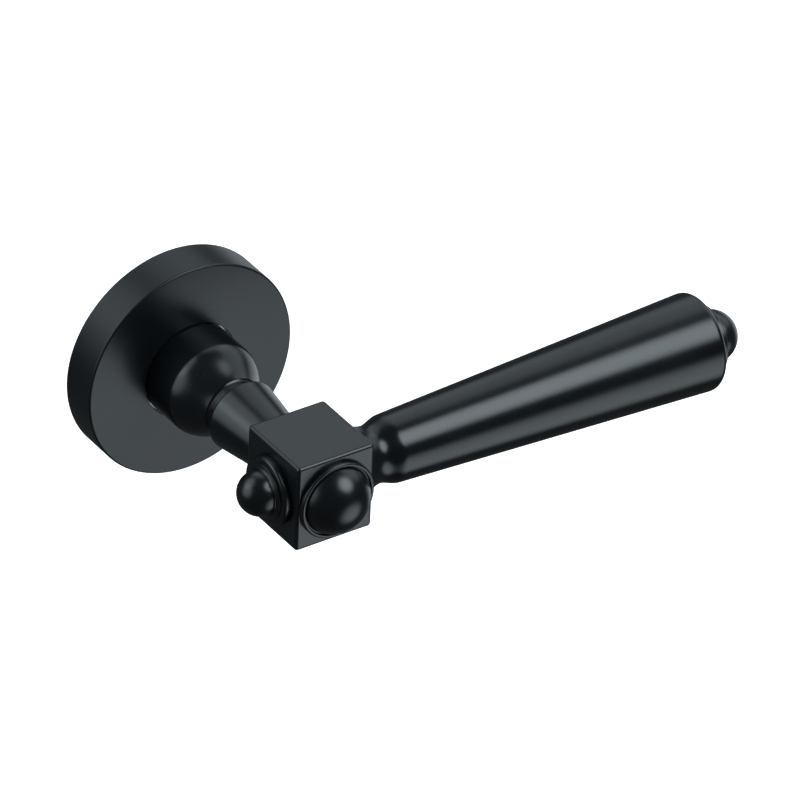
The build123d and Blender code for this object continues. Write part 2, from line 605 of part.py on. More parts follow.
# Finial opposite the grip: stepped foot, bead and ball turned on a threaded stud.
finial_ball_centre = -block_side - FINIAL_BALL_HEIGHT
bead_drop = sqrt(FINIAL_BALL_RADIUS**2 - (FINIAL_BALL_HEIGHT - FINIAL_BEAD_HEIGHT) ** 2)
with BuildPart() as side_finial:
    with BuildSketch(grip_plane):
        with BuildLine():
            Polyline(
                (-block_side + SIDE_THREAD_DEPTH - 0.5, 0),
                (-block_side + SIDE_THREAD_DEPTH - 0.5, FINIAL_STUD_RADIUS),
                (-block_side, FINIAL_STUD_RADIUS),
                (-block_side, FINIAL_FOOT_RADIUS),
                (-block_side - FINIAL_FOOT_HEIGHT, FINIAL_FOOT_RADIUS),
                (-block_side - FINIAL_FOOT_HEIGHT, FINIAL_STEP_RADIUS),
                (-block_side - FINIAL_STEP_HEIGHT, FINIAL_STEP_RADIUS),
            )
            RadiusArc(
                (-block_side - FINIAL_STEP_HEIGHT, FINIAL_STEP_RADIUS),
                (-block_side - FINIAL_BEAD_BASE, FINIAL_BEAD_RADIUS),
                FINIAL_COVE_ROUND,
            )
            Polyline(
                (-block_side - FINIAL_BEAD_BASE, FINIAL_BEAD_RADIUS),
                (-block_side - FINIAL_BEAD_HEIGHT, FINIAL_BEAD_RADIUS),
                (-block_side - FINIAL_BEAD_HEIGHT, bead_drop),
            )
            ThreePointArc(
                (-block_side - FINIAL_BEAD_HEIGHT, bead_drop),
                (finial_ball_centre - FINIAL_BALL_RADIUS * sqrt(0.5), FINIAL_BALL_RADIUS * sqrt(0.5)),
                (finial_ball_centre - FINIAL_BALL_RADIUS, 0),
            )
            Line(
                (finial_ball_centre - FINIAL_BALL_RADIUS, 0),
                (-block_side + SIDE_THREAD_DEPTH - 0.5, 0),
            )
        make_face()
    revolve(axis=grip_axis)
    foot_edge = side_finial.edges().filter_by(GeomType.CIRCLE).filter_by(
        lambda edge: abs(edge.radius - FINIAL_FOOT_RADIUS) < 0.01
    )
    fillet(foot_edge.sort_by(Axis.X)[0], FINIAL_FOOT_ROUND)
side_finial.part.label = "side_finial"
export_step(side_finial.part, "parts/side_finial.step")

# Grip: flared foot, waist and long straight cone, bored through for the tie rod.
waist_place = block_side + GRIP_WAIST_DISTANCE
cone_place = block_side + GRIP_CONE_DISTANCE
cone_slope = (GRIP_END_RADIUS - GRIP_CONE_RADIUS) / (grip_end - cone_place)
rod_bore = TIE_ROD_RADIUS + SEAT_GAP
with BuildPart() as grip:
    with BuildSketch(grip_plane):
        with BuildLine():
            Line((block_side, rod_bore), (block_side, GRIP_FOOT_RADIUS))
            Spline(
                (block_side, GRIP_FOOT_RADIUS),
                (waist_place, GRIP_WAIST_RADIUS),
                (cone_place, GRIP_CONE_RADIUS),
                tangents=[(1, -0.3), (1, cone_slope)],
            )
            Polyline(
                (cone_place, GRIP_CONE_RADIUS),
                (grip_end, GRIP_END_RADIUS),
                (grip_end, rod_bore),
                (block_side, rod_bore),
            )
        make_face()
    revolve(axis=grip_axis)
    end_edge = grip.edges().filter_by(GeomType.CIRCLE).sort_by(SortBy.RADIUS)[-1]
    fillet(end_edge, GRIP_END_ROUND)
grip.part.label = "grip"
export_step(grip.part, "parts/grip.step")

# Tie rod through the grip, from the block's thread to the end cap.
rod_start = block_side - SIDE_THREAD_DEPTH + 0.5
rod_end = cap_base + TIE_ROD_END_BITE
with BuildPart() as tie_rod:
    with BuildSketch(side_plane(rod_start)):
        Circle(TIE_ROD_RADIUS)
    extrude(amount=rod_end - rod_start)
    rod_edges = tie_rod.edges().filter_by(GeomType.CIRCLE)
    chamfer(rod_edges, 0.4)
tie_rod.part.label = "tie_rod"
export_step(tie_rod.part, "parts/tie_rod.step")

# Ring between the grip and its end cap.
with BuildPart() as end_ring:
    with BuildSketch(side_plane(grip_end)):
        Circle(END_RING_RADIUS)
    extrude(amount=END_RING_FLANGE)
    flange_edge = end_ring.edges().filter_by(GeomType.CIRCLE).sort_by(Axis.X)[-1]
    fillet(flange_edge, END_RING_ROUND)
    with BuildSketch(side_plane(grip_end)):
        Circle(END_RING_NECK_RADIUS)
    extrude(amount=END_RING_WIDTH)
    with BuildSketch(side_plane(grip_end)):
        Circle(rod_bore)
    extrude(amount=END_RING_WIDTH, mode=Mode.SUBTRACT)
end_ring.part.label = "end_ring"
export_step(end_ring.part, "parts/end_ring.step")

# Ball-shaped cap nut on the tie rod.
cap_base_radius = sqrt(CAP_RADIUS**2 - CAP_CENTRE_LIFT**2)
with BuildPart() as end_cap:
    with BuildSketch(grip_plane):
        with BuildLine():
            Polyline(
                (cap_base + TIE_ROD_END_BITE + 0.3, 0),
                (cap_base + TIE_ROD_END_BITE + 0.3, rod_bore),
                (cap_base, rod_bore),
                (cap_base, cap_base_radius),
            )
            ThreePointArc(
                (cap_base, cap_base_radius),
                (cap_centre + CAP_RADIUS * sqrt(0.5), CAP_RADIUS * sqrt(0.5)),
                (cap_centre + CAP_RADIUS, 0),
            )
            Line((cap_centre + CAP_RADIUS, 0), (cap_base + TIE_ROD_END_BITE + 0.3, 0))
        make_face()
    revolve(axis=grip_axis)
end_cap.part.label = "end_cap"
export_step(end_cap.part, "parts/end_cap.step")

# Grub screw under the block that locks the tie rod.
grip_grub_depth = TIE_ROD_RADIUS + SEAT_GAP
grip_grub_length = BLOCK_TALL / 2 - grip_grub_depth - GRUB_RECESS
with BuildPart() as grip_grub_screw:
    with BuildSketch(underside_plane(grip_grub_place, block_centre, grip_grub_depth)):
        Circle(GRIP_GRUB_RADIUS)
    extrude(amount=grip_grub_length)
    with BuildSketch(underside_plane(grip_grub_place, block_centre, grip_grub_depth + grip_grub_length)):
        RegularPolygon(GRIP_GRUB_HEX / 2, 6, major_radius=False)
    extrude(amount=-HEX_DEPTH, mode=Mode.SUBTRACT)
grip_grub_screw.part.label = "grip_grub_screw"
export_step(grip_grub_screw.part, "parts/grip_grub_screw.step")
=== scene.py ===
"""Looks of a black door lever handle on a round sprung rose.

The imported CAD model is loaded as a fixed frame. The classes below turn, mill and coat the
pieces that show, in metres and in the frame's own axes: the door stands behind the rose at
+Y, the handle stands out along -Y, +Z is up and the grip points along +X.
"""

from __future__ import annotations

import logging
import math
from dataclasses import dataclass, field
from enum import Enum
from typing import Sequence

import bmesh
import bpy
from mathutils import Matrix, Vector


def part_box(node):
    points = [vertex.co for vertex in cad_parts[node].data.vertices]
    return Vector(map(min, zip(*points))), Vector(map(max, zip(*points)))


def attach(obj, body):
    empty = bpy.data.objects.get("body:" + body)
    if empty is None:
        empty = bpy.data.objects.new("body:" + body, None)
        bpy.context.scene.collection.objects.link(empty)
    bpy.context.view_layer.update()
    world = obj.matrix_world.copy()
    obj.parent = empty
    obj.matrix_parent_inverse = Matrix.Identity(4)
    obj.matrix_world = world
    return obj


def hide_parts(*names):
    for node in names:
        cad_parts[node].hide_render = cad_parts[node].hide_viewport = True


LOG = logging.getLogger("door_handle")
MM = 0.001


class Body(Enum):
    """Rigid bodies of the handle."""

    ROSE = "rose"
    LEVER = "lever"


class Slot(Enum):
    """Material slots of the record."""

    COAT = "black_powder_coat"
    ZINC = "cast_zinc"
    STEEL = "plated_steel"
    SPRING = "spring_steel"
    ACETAL = "white_acetal"
    SCREW = "black_screw"


# ---------------------------------------------------------------- shader maths


class Value:
    """One socket of a node tree, with arithmetic that adds Math nodes."""

    def __init__(self, graph: "Graph", socket: bpy.types.NodeSocket) -> None:
        """Keeps the socket and the graph that it belongs to."""
        self.graph = graph
        self.socket = socket

    def _math(self, operation: str, first: object, second: object | None = None) -> "Value":
        """Adds one Math node.

        Args:
            operation: The Math node's operation.
            first: A number or a Value.
            second: A number or a Value, or None for an operation with one input.

        Returns:
            The node's result.
        """
        inputs = {0: first} if second is None else {0: first, 1: second}
        return self.graph.node("ShaderNodeMath", {"operation": operation}, inputs)

    def __add__(self, other: object) -> "Value":
        """Sum."""
        return self._math("ADD", self, other)

    def __radd__(self, other: object) -> "Value":
        """Sum, number first."""
        return self._math("ADD", other, self)

    def __sub__(self, other: object) -> "Value":
        """Difference."""
        return self._math("SUBTRACT", self, other)

    def __rsub__(self, other: object) -> "Value":
        """Difference, number first."""
        return self._math("SUBTRACT", other, self)

    def __mul__(self, other: object) -> "Value":
        """Product."""
        return self._math("MULTIPLY", self, other)

    def __rmul__(self, other: object) -> "Value":
        """Product, number first."""
        return self._math("MULTIPLY", other, self)

    def __truediv__(self, other: object) -> "Value":
        """Quotient."""
        return self._math("DIVIDE", self, other)

    def __pow__(self, other: object) -> "Value":
        """Power."""
        return self._math("POWER", self, other)

    def smooth(self, low: float, high: float) -> "Value":
        """Rises smoothly from 0 at low to 1 at high."""
        settings = {"interpolation_type": "SMOOTHSTEP"}
        inputs = {"Value": self, "From Min": low, "From Max": high}
        return self.graph.node("ShaderNodeMapRange", settings, inputs)


class Graph:
    """A node tree and the one method that adds nodes to it."""

    def __init__(self, tree: bpy.types.NodeTree) -> None:
        """Starts from an empty tree."""
        self.tree = tree
        tree.nodes.clear()

    @classmethod
    def of_material(cls, name: str) -> tuple["Graph", bpy.types.Material]:
        """Makes a material and the graph of its nodes."""
        material = bpy.data.materials.new(name)
        material.use_nodes = True
        return cls(material.node_tree), material

    def surface(self, inputs: dict[object, object]) -> None:
        """Ends a material's graph in a Principled shader with these inputs."""
        shader = self.node("ShaderNodeBsdfPrincipled", inputs=inputs)
        self.node("ShaderNodeOutputMaterial", inputs={"Surface": shader})

    def node(
        self,
        kind: str,
        settings: dict[str, object] | None = None,
        inputs: dict[object, object] | None = None,
        output: object = 0,
    ) -> Value:
        """Adds a node.

        Args:
            kind: The node's type.
            settings: Its attributes, set before its sockets; "ramp" gives a ramp's stops.
            inputs: Values or links of its sockets, by name or number.
            output: Name or number of the socket that is returned.

        Returns:
            The chosen output, or the node's first input when it has no output.
        """
        made = self.tree.nodes.new(kind)
        for name, setting in (settings or {}).items():
            if name == "ramp":
                self._set_ramp(made.color_ramp, setting)
            else:
                setattr(made, name, setting)
        for key, value in (inputs or {}).items():
            socket = made.inputs[key]
            if isinstance(value, Value):
                self.tree.links.new(value.socket, socket)
            else:
                socket.default_value = value
        return Value(self, made.outputs[output] if made.outputs else made.inputs[0])

    @staticmethod
    def _set_ramp(ramp: bpy.types.ColorRamp, stops: Sequence[tuple[float, float]]) -> None:
        """Gives a colour ramp grey stops, each a place and a brightness."""
        while len(ramp.elements) < len(stops):
            ramp.elements.new(0.5)
        for element, (where, brightness) in zip(ramp.elements, stops):
            element.position = where
            element.color = (brightness, brightness, brightness, 1.0)

    def noise(self, scale: float, detail: float = 2.0, seed: Sequence[float] = (0, 0, 0)) -> Value:
        """Noise on Object coordinates.

        Args:
            scale: Features per metre.
            detail: Octaves.
            seed: Offset of the pattern, in metres.

        Returns:
            The noise, from 0 to 1 and mostly near 0.5.
        """
        coords = self.node("ShaderNodeTexCoord", output="Object")
        moved = self.node("ShaderNodeMapping", inputs={"Vector": coords, "Location": tuple(seed)})
        return self.node(
            "ShaderNodeTexNoise",
            inputs={"Vector": moved, "Scale": scale, "Detail": detail, "Roughness": 0.55},
        )

    def tint(self, amount: Value, low: Sequence[float], high: Sequence[float]) -> Value:
        """Mixes two colours.

        Args:
            amount: 0 gives low and 1 gives high.
            low: Linear red, green and blue.
            high: Linear red, green and blue.

        Returns:
            The mixed colour.
        """
        inputs = {"Factor": amount, 6: (*low, 1.0), 7: (*high, 1.0)}
        return self.node("ShaderNodeMix", {"data_type": "RGBA"}, inputs, output=2)

    def bump(self, height: Value, depth: float, after: Value | None = None) -> Value:
        """Turns a height into a normal.

        Args:
            height: Height, from 0 to 1.
            depth: What 1 stands for, in metres.
            after: A normal that this bump is laid over.

        Returns:
            The normal.
        """
        inputs: dict[object, object] = {"Height": height, "Distance": depth, "Strength": 1.0}
        if after is not None:
            inputs["Normal"] = after
        return self.node("ShaderNodeBump", inputs=inputs)


# ---------------------------------------------------------------- finishes


@dataclass(frozen=True)
class PowderCoat:
    """Black powder coat: a thin film with a fine grain, faint orange peel and stray specks.

    Sizes are in millimetres.
    """

    name: str
    dark: tuple[float, float, float] = (0.0060, 0.0072, 0.0086)
    light: tuple[float, float, float] = (0.0100, 0.0120, 0.0144)
    gloss: float = 0.5
    roughness: float = 0.27
    roughness_play: float = 0.07
    grain_size: float = 0.20
    grain_depth: float = 0.0013
    peel_size: float = 1.7
    peel_depth: float = 0.005
    speck_size: float = 0.34

    def build(self) -> bpy.types.Material:
        """Makes the material."""
        graph, material = Graph.of_material(self.name)
        grain = graph.noise(1 / (self.grain_size * MM), 3.0)
        peel = graph.noise(1 / (self.peel_size * MM), 1.0, (0.31, 0.17, 0.05))
        cloud = graph.noise(1 / (14 * MM), 3.0, (0.07, 0.23, 0.41))
        dust = graph.noise(1 / (self.speck_size * MM), 0.0, (0.91, 0.37, 0.63))
        speck = dust.smooth(0.83, 0.90) * cloud.smooth(0.45, 0.6)
        shade = (cloud * 0.6 + grain * 0.4).smooth(0.35, 0.65)
        colour = graph.tint(shade, self.dark, self.light)
        dusted = graph.tint(speck, (0.0, 0.0, 0.0), (0.035, 0.038, 0.041))
        together = {"Factor": 1.0, 6: colour, 7: dusted}
        colour = graph.node("ShaderNodeMix", {"data_type": "RGBA", "blend_type": "ADD"}, together, output=2)
        play = (cloud - 0.5) * self.roughness_play + (grain - 0.5) * self.roughness_play
        peeled = graph.bump(peel, self.peel_depth * MM)
        graph.surface(
            {
                "Base Color": colour,
                "Roughness": self.roughness + play + speck * 0.2,
                "Specular IOR Level": self.gloss,
                "Normal": graph.bump(grain, self.grain_depth * MM, peeled),
            }
        )
        return material


@dataclass(frozen=True)
class Metal:
    """Bare or plated metal with tooling lines along one axis, clouding and small pits."""

    name: str
    dark: tuple[float, float, float]
    light: tuple[float, float, float]
    metallic: float
    roughness: float
    tooling: tuple[float, float, float] = (1.0, 1.0, 1.0)
    tooling_depth: float = 0.002 * MM
    pit_depth: float = 0.0

    def build(self) -> bpy.types.Material:
        """Makes the material."""
        graph, material = Graph.of_material(self.name)
        coords = graph.node("ShaderNodeTexCoord", output="Object")
        stretched = graph.node("ShaderNodeMapping", inputs={"Vector": coords, "Scale": self.tooling})
        fine = {"Vector": stretched, "Scale": 1 / (0.25 * MM), "Detail": 2.0}
        lines = graph.node("ShaderNodeTexNoise", inputs=fine)
        cloud = graph.noise(1 / (6 * MM), 3.0, (0.2, 0.5, 0.1))
        pits = graph.noise(1 / (0.5 * MM), 2.0, (0.6, 0.1, 0.8)).smooth(0.60, 0.72)
        colour = graph.tint((cloud * 0.7 + lines * 0.3).smooth(0.3, 0.7), self.dark, self.light)
        roughness = self.roughness + (cloud - 0.5) * 0.2 + (lines - 0.5) * 0.1
        normal = graph.bump(lines, self.tooling_depth)
        if self.pit_depth > 0:
            normal = graph.bump(1 - pits, self.pit_depth, normal)
        graph.surface(
            {
                "Base Color": colour,
                "Metallic": self.metallic,
                "Roughness": roughness,
                "Normal": normal,
            }
        )
        return material


@dataclass(frozen=True)
class Polymer:
    """Moulded acetal: smooth, slightly waxy, with faint flow marks."""

    name: str
    dark: tuple[float, float, float]
    light: tuple[float, float, float]
    roughness: float = 0.42

    def build(self) -> bpy.types.Material:
        """Makes the material."""
        graph, material = Graph.of_material(self.name)
        flow = graph.noise(1 / (3 * MM), 2.0, (0.4, 0.4, 0.2))
        fine = graph.noise(1 / (0.3 * MM), 2.0)
        graph.surface(
            {
                "Base Color": graph.tint(flow.smooth(0.3, 0.7), self.dark, self.light),
                "Roughness": self.roughness + (fine - 0.5) * 0.12,
                "Normal": graph.bump(fine, 0.002 * MM),
            }
        )
        return material


@dataclass
class Finishes:
    """Every finish of the handle, made once."""

    rose_coat: bpy.types.Material = field(init=False)
    turned_coat: bpy.types.Material = field(init=False)
    block_coat: bpy.types.Material = field(init=False)
    ball_coat: bpy.types.Material = field(init=False)
    grip_coat: bpy.types.Material = field(init=False)
    zinc: bpy.types.Material = field(init=False)
    steel: bpy.types.Material = field(init=False)
    spring: bpy.types.Material = field(init=False)
    acetal: bpy.types.Material = field(init=False)
    screw: bpy.types.Material = field(init=False)

    def __post_init__(self) -> None:
        """Makes the materials."""
        self.rose_coat = PowderCoat("rose_powder_coat", roughness=0.31, gloss=0.42).build()
        self.turned_coat = PowderCoat("turned_powder_coat", roughness=0.2).build()
        self.block_coat = PowderCoat("block_powder_coat", roughness=0.26, gloss=0.55).build()
        self.ball_coat = PowderCoat("ball_powder_coat", roughness=0.25, gloss=0.55).build()
        self.grip_coat = PowderCoat("grip_powder_coat", roughness=0.2).build()
        grey, pale = (0.23, 0.235, 0.24), (0.38, 0.385, 0.39)
        self.zinc = Metal("die_cast_zinc", grey, pale, 0.85, 0.5, pit_depth=0.012 * MM).build()
        grey, pale = (0.46, 0.47, 0.47), (0.62, 0.62, 0.60)
        self.steel = Metal("zinc_plated_steel", grey, pale, 1.0, 0.34, (1.0, 0.08, 1.0)).build()
        grey, pale = (0.11, 0.115, 0.125), (0.22, 0.22, 0.23)
        self.spring = Metal("oiled_spring_steel", grey, pale, 1.0, 0.33).build()
        self.acetal = Polymer("natural_acetal", (0.66, 0.65, 0.60), (0.78, 0.77, 0.73)).build()
        grey, pale = (0.012, 0.012, 0.014), (0.03, 0.03, 0.033)
        self.screw = Metal("black_oxide", grey, pale, 0.6, 0.38).build()


# ---------------------------------------------------------------- outlines and turned shapes


@dataclass(frozen=True)
class Corner:
    """A point of a turned outline: place along the axis, radius, and rounding."""

    along: float
    radius: float
    rounding: float = 0.0


@dataclass
class Outline:
    """A turned piece's half section, drawn point by point in millimetres."""

    corners: list[Corner] = field(default_factory=list)

    def line(self, along: float, radius: float, rounding: float = 0.0) -> "Outline":
        """Draws a straight line to a corner, which may be rounded."""
        self.corners.append(Corner(along, radius, rounding))
        return self

    def ball(self, centre: float, radius: float, start: float, end: float, steps: int = 40) -> "Outline":
        """Draws part of a ball that is centred on the axis.

        Args:
            centre: Place of the ball's centre along the axis.
            radius: Radius of the ball.
            start: Place along the axis where the part starts.
            end: Place along the axis where it ends.
            steps: Straight pieces that it is made of.

        Returns:
            The outline itself.
        """
        first = math.acos(max(-1.0, min(1.0, (start - centre) / radius)))
        last = math.acos(max(-1.0, min(1.0, (end - centre) / radius)))
        for step in range(steps + 1):
            angle = first + (last - first) * step / steps
            reach = max(radius * math.sin(angle), 0.0)
            self.corners.append(Corner(centre + radius * math.cos(angle), reach))
        return self

    def ease(
        self, along: float, radius: float, slope_in: float, slope_out: float, steps: int = 24
    ) -> "Outline":
        """Draws a smooth cubic curve.

        Args:
            along: Place of its end along the axis.
            radius: Radius at its end.
            slope_in: Radius gained per millimetre where it starts.
            slope_out: Radius gained per millimetre where it ends.
            steps: Straight pieces that it is made of.

        Returns:
            The outline itself.
        """
        start = self.corners[-1]
        span = along - start.along
        for step in range(1, steps + 1):
            t = step / steps
            from_start = (2 * t**3 - 3 * t**2 + 1) * start.radius + (t**3 - 2 * t**2 + t) * span * slope_in
            to_end = (3 * t**2 - 2 * t**3) * radius + (t**3 - t**2) * span * slope_out
            self.corners.append(Corner(start.along + span * t, from_start + to_end))
        return self

    def points(self, closed: bool, steps: int = 6) -> list[Vector]:
        """Works out the outline's points with its corners rounded.

        Args:
            closed: Whether the outline is a loop that stays off the axis.
            steps: Straight pieces in a rounded corner.

        Returns:
            Points as (along, radius), in millimetres.
        """
        found: list[Vector] = []
        count = len(self.corners)
        for index, corner in enumerate(self.corners):
            here = Vector((corner.along, corner.radius))
            end_point = not closed and index in (0, count - 1)
            if corner.rounding <= 0 or end_point:
                found.append(here)
                continue
            before = self.corners[index - 1]
            after = self.corners[(index + 1) % count]
            to_before = Vector((before.along, before.radius)) - here
            to_after = Vector((after.along, after.radius)) - here
            turn = math.pi - to_before.angle(to_after)
            trim = corner.rounding * math.tan(turn / 2)
            trim = min(trim, 0.48 * to_before.length, 0.48 * to_after.length)
            round_radius = trim / math.tan(turn / 2)
            inward = (to_before.normalized() + to_after.normalized()).normalized()
            centre = here + inward * math.hypot(round_radius, trim)
            start = here + to_before.normalized() * trim - centre
            finish = here + to_after.normalized() * trim - centre
            for step in range(steps + 1):
                share = step / steps
                angle = turn * share
                mix = (start * math.sin(turn - angle) + finish * math.sin(angle)) / math.sin(turn)
                found.append(centre + mix)
        return found


class Workshop:
    """Turning, milling and finishing of meshes."""

    #: Directions of the turning axis and of the two across it, as columns.
    SPINDLE_AXIS = Matrix(((0, 1, 0), (-1, 0, 0), (0, 0, 1)))
    GRIP_AXIS = Matrix(((1, 0, 0), (0, 1, 0), (0, 0, 1)))
    DOWNWARD = Matrix(((0, 1, 0), (0, 0, 1), (-1, 0, 0)))

    #: Points nearer than this, in metres, are one point.
    WELD = 3e-7

    @staticmethod
    def new_object(name: str, shape: bmesh.types.BMesh) -> bpy.types.Object:
        """Puts a finished bmesh, drawn in metres, into a new object of the scene."""
        mesh = bpy.data.meshes.new(name)
        shape.to_mesh(mesh)
        shape.free()
        made = bpy.data.objects.new(name, mesh)
        bpy.context.scene.collection.objects.link(made)
        return made

    @classmethod
    def turn(
        cls,
        name: str,
        outline: Outline,
        axis: Matrix,
        origin: Vector = Vector((0, 0, 0)),
        closed: bool = False,
        segments: int = 128,
    ) -> bpy.types.Object:
        """Turns an outline round an axis into a closed solid.

        Args:
            name: The piece's name.
            outline: Half section, in millimetres along and out from the axis.
            axis: Directions of the turning axis and the two across it.
            origin: Where the axis starts, in metres.
            closed: Whether the outline is a loop that stays off the axis, as in a ring.
            segments: Facets round the axis.

        Returns:
            The turned piece.
        """
        shape = bmesh.new()
        rings: list[list[bmesh.types.BMVert]] = []
        for point in outline.points(closed):
            count = 1 if point.y < 1e-6 else segments
            ring = []
            for step in range(count):
                angle = 2 * math.pi * step / count
                local = Vector((point.x, point.y * math.cos(angle), point.y * math.sin(angle))) * MM
                ring.append(shape.verts.new(origin + axis @ local))
            rings.append(ring)
        pairs = list(zip(rings, rings[1:]))
        if closed:
            pairs.append((rings[-1], rings[0]))
        for first, second in pairs:
            if len(first) == 1 and len(second) == 1:
                continue
            for step in range(segments):
                following = (step + 1) % segments
                corners = [first[step % len(first)], first[following % len(first)]]
                corners += [second[following % len(second)], second[step % len(second)]]
                shape.faces.new(list(dict.fromkeys(corners)))
        bmesh.ops.remove_doubles(shape, verts=shape.verts, dist=1e-8)
        bmesh.ops.recalc_face_normals(shape, faces=shape.faces)
        return cls.new_object(name, shape)

    @classmethod
    def prism(
        cls, name: str, low: Vector, high: Vector, rounding: float = 0.0, steps: int = 4
    ) -> bpy.types.Object:
        """Makes a rectangular block with rounded edges.

        Args:
            name: The piece's name.
            low: Its lowest corner, in metres.
            high: Its highest corner.
            rounding: Radius of its edges.
            steps: Facets across a rounded edge.

        Returns:
            The block.
        """
        shape = bmesh.new()
        bmesh.ops.create_cube(shape, size=1.0)
        size = high - low
        middle = (high + low) / 2
        for vert in shape.verts:
            vert.co = Vector(vert.co[i] * size[i] + middle[i] for i in range(3))
        if rounding > 0:
            bmesh.ops.bevel(
                shape, geom=list(shape.edges), offset=rounding, segments=steps, profile=0.5, affect="EDGES"
            )
        bmesh.ops.recalc_face_normals(shape, faces=shape.faces)
        return cls.new_object(name, shape)

    @classmethod
    def rod(
        cls, start: Vector, end: Vector, radius: float, end_radius: float | None = None, sides: int = 64
    ) -> bpy.types.Object:
        """Makes a cutter between two points: round, conical or six-sided.

        Args:
            start: Centre of its first end, in metres.
            end: Centre of its other end.
            radius: Radius at its first end.
            end_radius: Radius at its other end, or None for the same.
            sides: Facets round it.

        Returns:
            The cutter.
        """
        shape = bmesh.new()
        other = radius if end_radius is None else end_radius
        length = (end - start).length
        bmesh.ops.create_cone(
            shape, cap_ends=True, segments=sides, radius1=radius, radius2=other, depth=length
        )
        turn = (end - start).to_track_quat("Z", "Y").to_matrix().to_4x4()
        bmesh.ops.transform(shape, matrix=Matrix.Translation((start + end) / 2) @ turn, verts=shape.verts)
        return cls.new_object("cutter", shape)

    @classmethod
    def copy_of(cls, node: str, name: str) -> bpy.types.Object:
        """Copies a CAD node as clean faces, so that its edges can be broken.

        Args:
            node: The CAD node.
            name: The copy's name.

        Returns:
            The copy.
        """
        shape = bmesh.new()
        shape.from_mesh(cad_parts[node].data)
        bmesh.ops.remove_doubles(shape, verts=shape.verts, dist=2e-6)
        bmesh.ops.dissolve_degenerate(shape, edges=shape.edges, dist=1e-7)
        bmesh.ops.dissolve_limit(
            shape, angle_limit=math.radians(0.4), verts=shape.verts, edges=shape.edges
        )
        bmesh.ops.recalc_face_normals(shape, faces=shape.faces)
        return cls.new_object(name, shape)

    @staticmethod
    def freeze(piece: bpy.types.Object) -> None:
        """Applies a piece's modifiers, so that it is a plain mesh."""
        seen = piece.evaluated_get(bpy.context.evaluated_depsgraph_get())
        mesh = bpy.data.meshes.new_from_object(seen)
        mesh.name = piece.name
        piece.modifiers.clear()
        piece.data = mesh

    @classmethod
    def cut(
        cls, piece: bpy.types.Object, tools: Sequence[bpy.types.Object], operation: str = "DIFFERENCE"
    ) -> None:
        """Cuts tools out of a piece, or joins them to it, and throws the tools away.

        Args:
            piece: The piece that is worked on.
            tools: Closed solids.
            operation: DIFFERENCE, or UNION to join them on.
        """
        for tool in tools:
            modifier = piece.modifiers.new("cut", "BOOLEAN")
            modifier.operation = operation
            modifier.solver = "EXACT"
            modifier.object = tool
        cls.freeze(piece)
        for tool in tools:
            bpy.data.objects.remove(tool)

    @classmethod
    def finish(
        cls,
        piece: bpy.types.Object,
        material: bpy.types.Material,
        body: Body,
        slot: Slot,
        node: str,
        edge: float = 0.0,
    ) -> None:
        """Breaks a piece's edges, shades and coats it, and sets it on its body.

        Args:
            piece: The piece.
            material: Its finish.
            body: The rigid body that it rides on.
            slot: The record's material slot; not used.
            node: CAD node that it stands for.
            edge: Radius to break its sharp edges with, in millimetres.
        """
        if edge > 0:
            bevel = piece.modifiers.new("edge", "BEVEL")
            bevel.width = edge * MM
            bevel.segments = 2
            bevel.limit_method = "ANGLE"
            bevel.angle_limit = math.radians(32)
            bevel.use_clamp_overlap = True
            cls.freeze(piece)
        shape = bmesh.new()
        shape.from_mesh(piece.data)
        bmesh.ops.remove_doubles(shape, verts=shape.verts, dist=cls.WELD)
        bmesh.ops.dissolve_degenerate(shape, edges=shape.edges, dist=cls.WELD)
        shape.to_mesh(piece.data)
        shape.free()
        piece.data.materials.clear()
        piece.data.materials.append(material)
        for polygon in piece.data.polygons:
            polygon.material_index = 0
        piece.data.shade_smooth()
        piece.data.set_sharp_from_angle(angle=math.radians(36))
        weighted = piece.modifiers.new("shade", "WEIGHTED_NORMAL")
        weighted.keep_sharp = True
        weighted.weight = 100
        cls.freeze(piece)
        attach(piece, body.value)
        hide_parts(node)
        LOG.info("%s: %d faces for %s", piece.name, len(piece.data.polygons), node)


class Recipe:
    """A Geometry Nodes tree with named inputs, run once and left as a plain mesh."""

    def __init__(self, name: str) -> None:
        """Starts a tree that takes and gives geometry."""
        self.tree = bpy.data.node_groups.new(name, "GeometryNodeTree")
        self.tree.interface.new_socket("Geometry", in_out="INPUT", socket_type="NodeSocketGeometry")
        self.tree.interface.new_socket("Geometry", in_out="OUTPUT", socket_type="NodeSocketGeometry")
        self.graph = Graph(self.tree)
        self.settings: dict[str, object] = {}
        self.start = self.tree.nodes.new("NodeGroupInput")

    def given(self, name: str, value: object, kind: str = "NodeSocketFloat") -> Value:
        """Adds a named input.

        Args:
            name: The input's name.
            value: What it is set to.
            kind: Its socket's type.

        Returns:
            The input inside the tree.
        """
        socket = self.tree.interface.new_socket(name, in_out="INPUT", socket_type=kind)
        self.settings[socket.identifier] = value
        return Value(self.graph, self.start.outputs[name])

    def geometry(self) -> Value:
        """The mesh that the tree is run on."""
        return Value(self.graph, self.start.outputs["Geometry"])

    def run(self, piece: bpy.types.Object, made: Value, material: bpy.types.Material) -> None:
        """Ends the tree in real geometry with a material, and runs it.

        Args:
            piece: The object that it runs on.
            made: The geometry to keep.
            material: The finish that it gets.
        """
        coat = self.given("Finish", material, "NodeSocketMaterial")
        solid = self.graph.node("GeometryNodeRealizeInstances", inputs={"Geometry": made})
        coated = self.graph.node("GeometryNodeSetMaterial", inputs={"Geometry": solid, "Material": coat})
        self.graph.node("NodeGroupOutput", inputs={0: coated})
        modifier = piece.modifiers.new("recipe", "NODES")
        modifier.node_group = self.tree
        for identifier, value in self.settings.items():
            modifier[identifier] = value
        Workshop.freeze(piece)


def place(x: float, height: float, z: float) -> Vector:
    """A point by its millimetres along the grip, out from the door and up."""
    return Vector((x, -height, z)) * MM


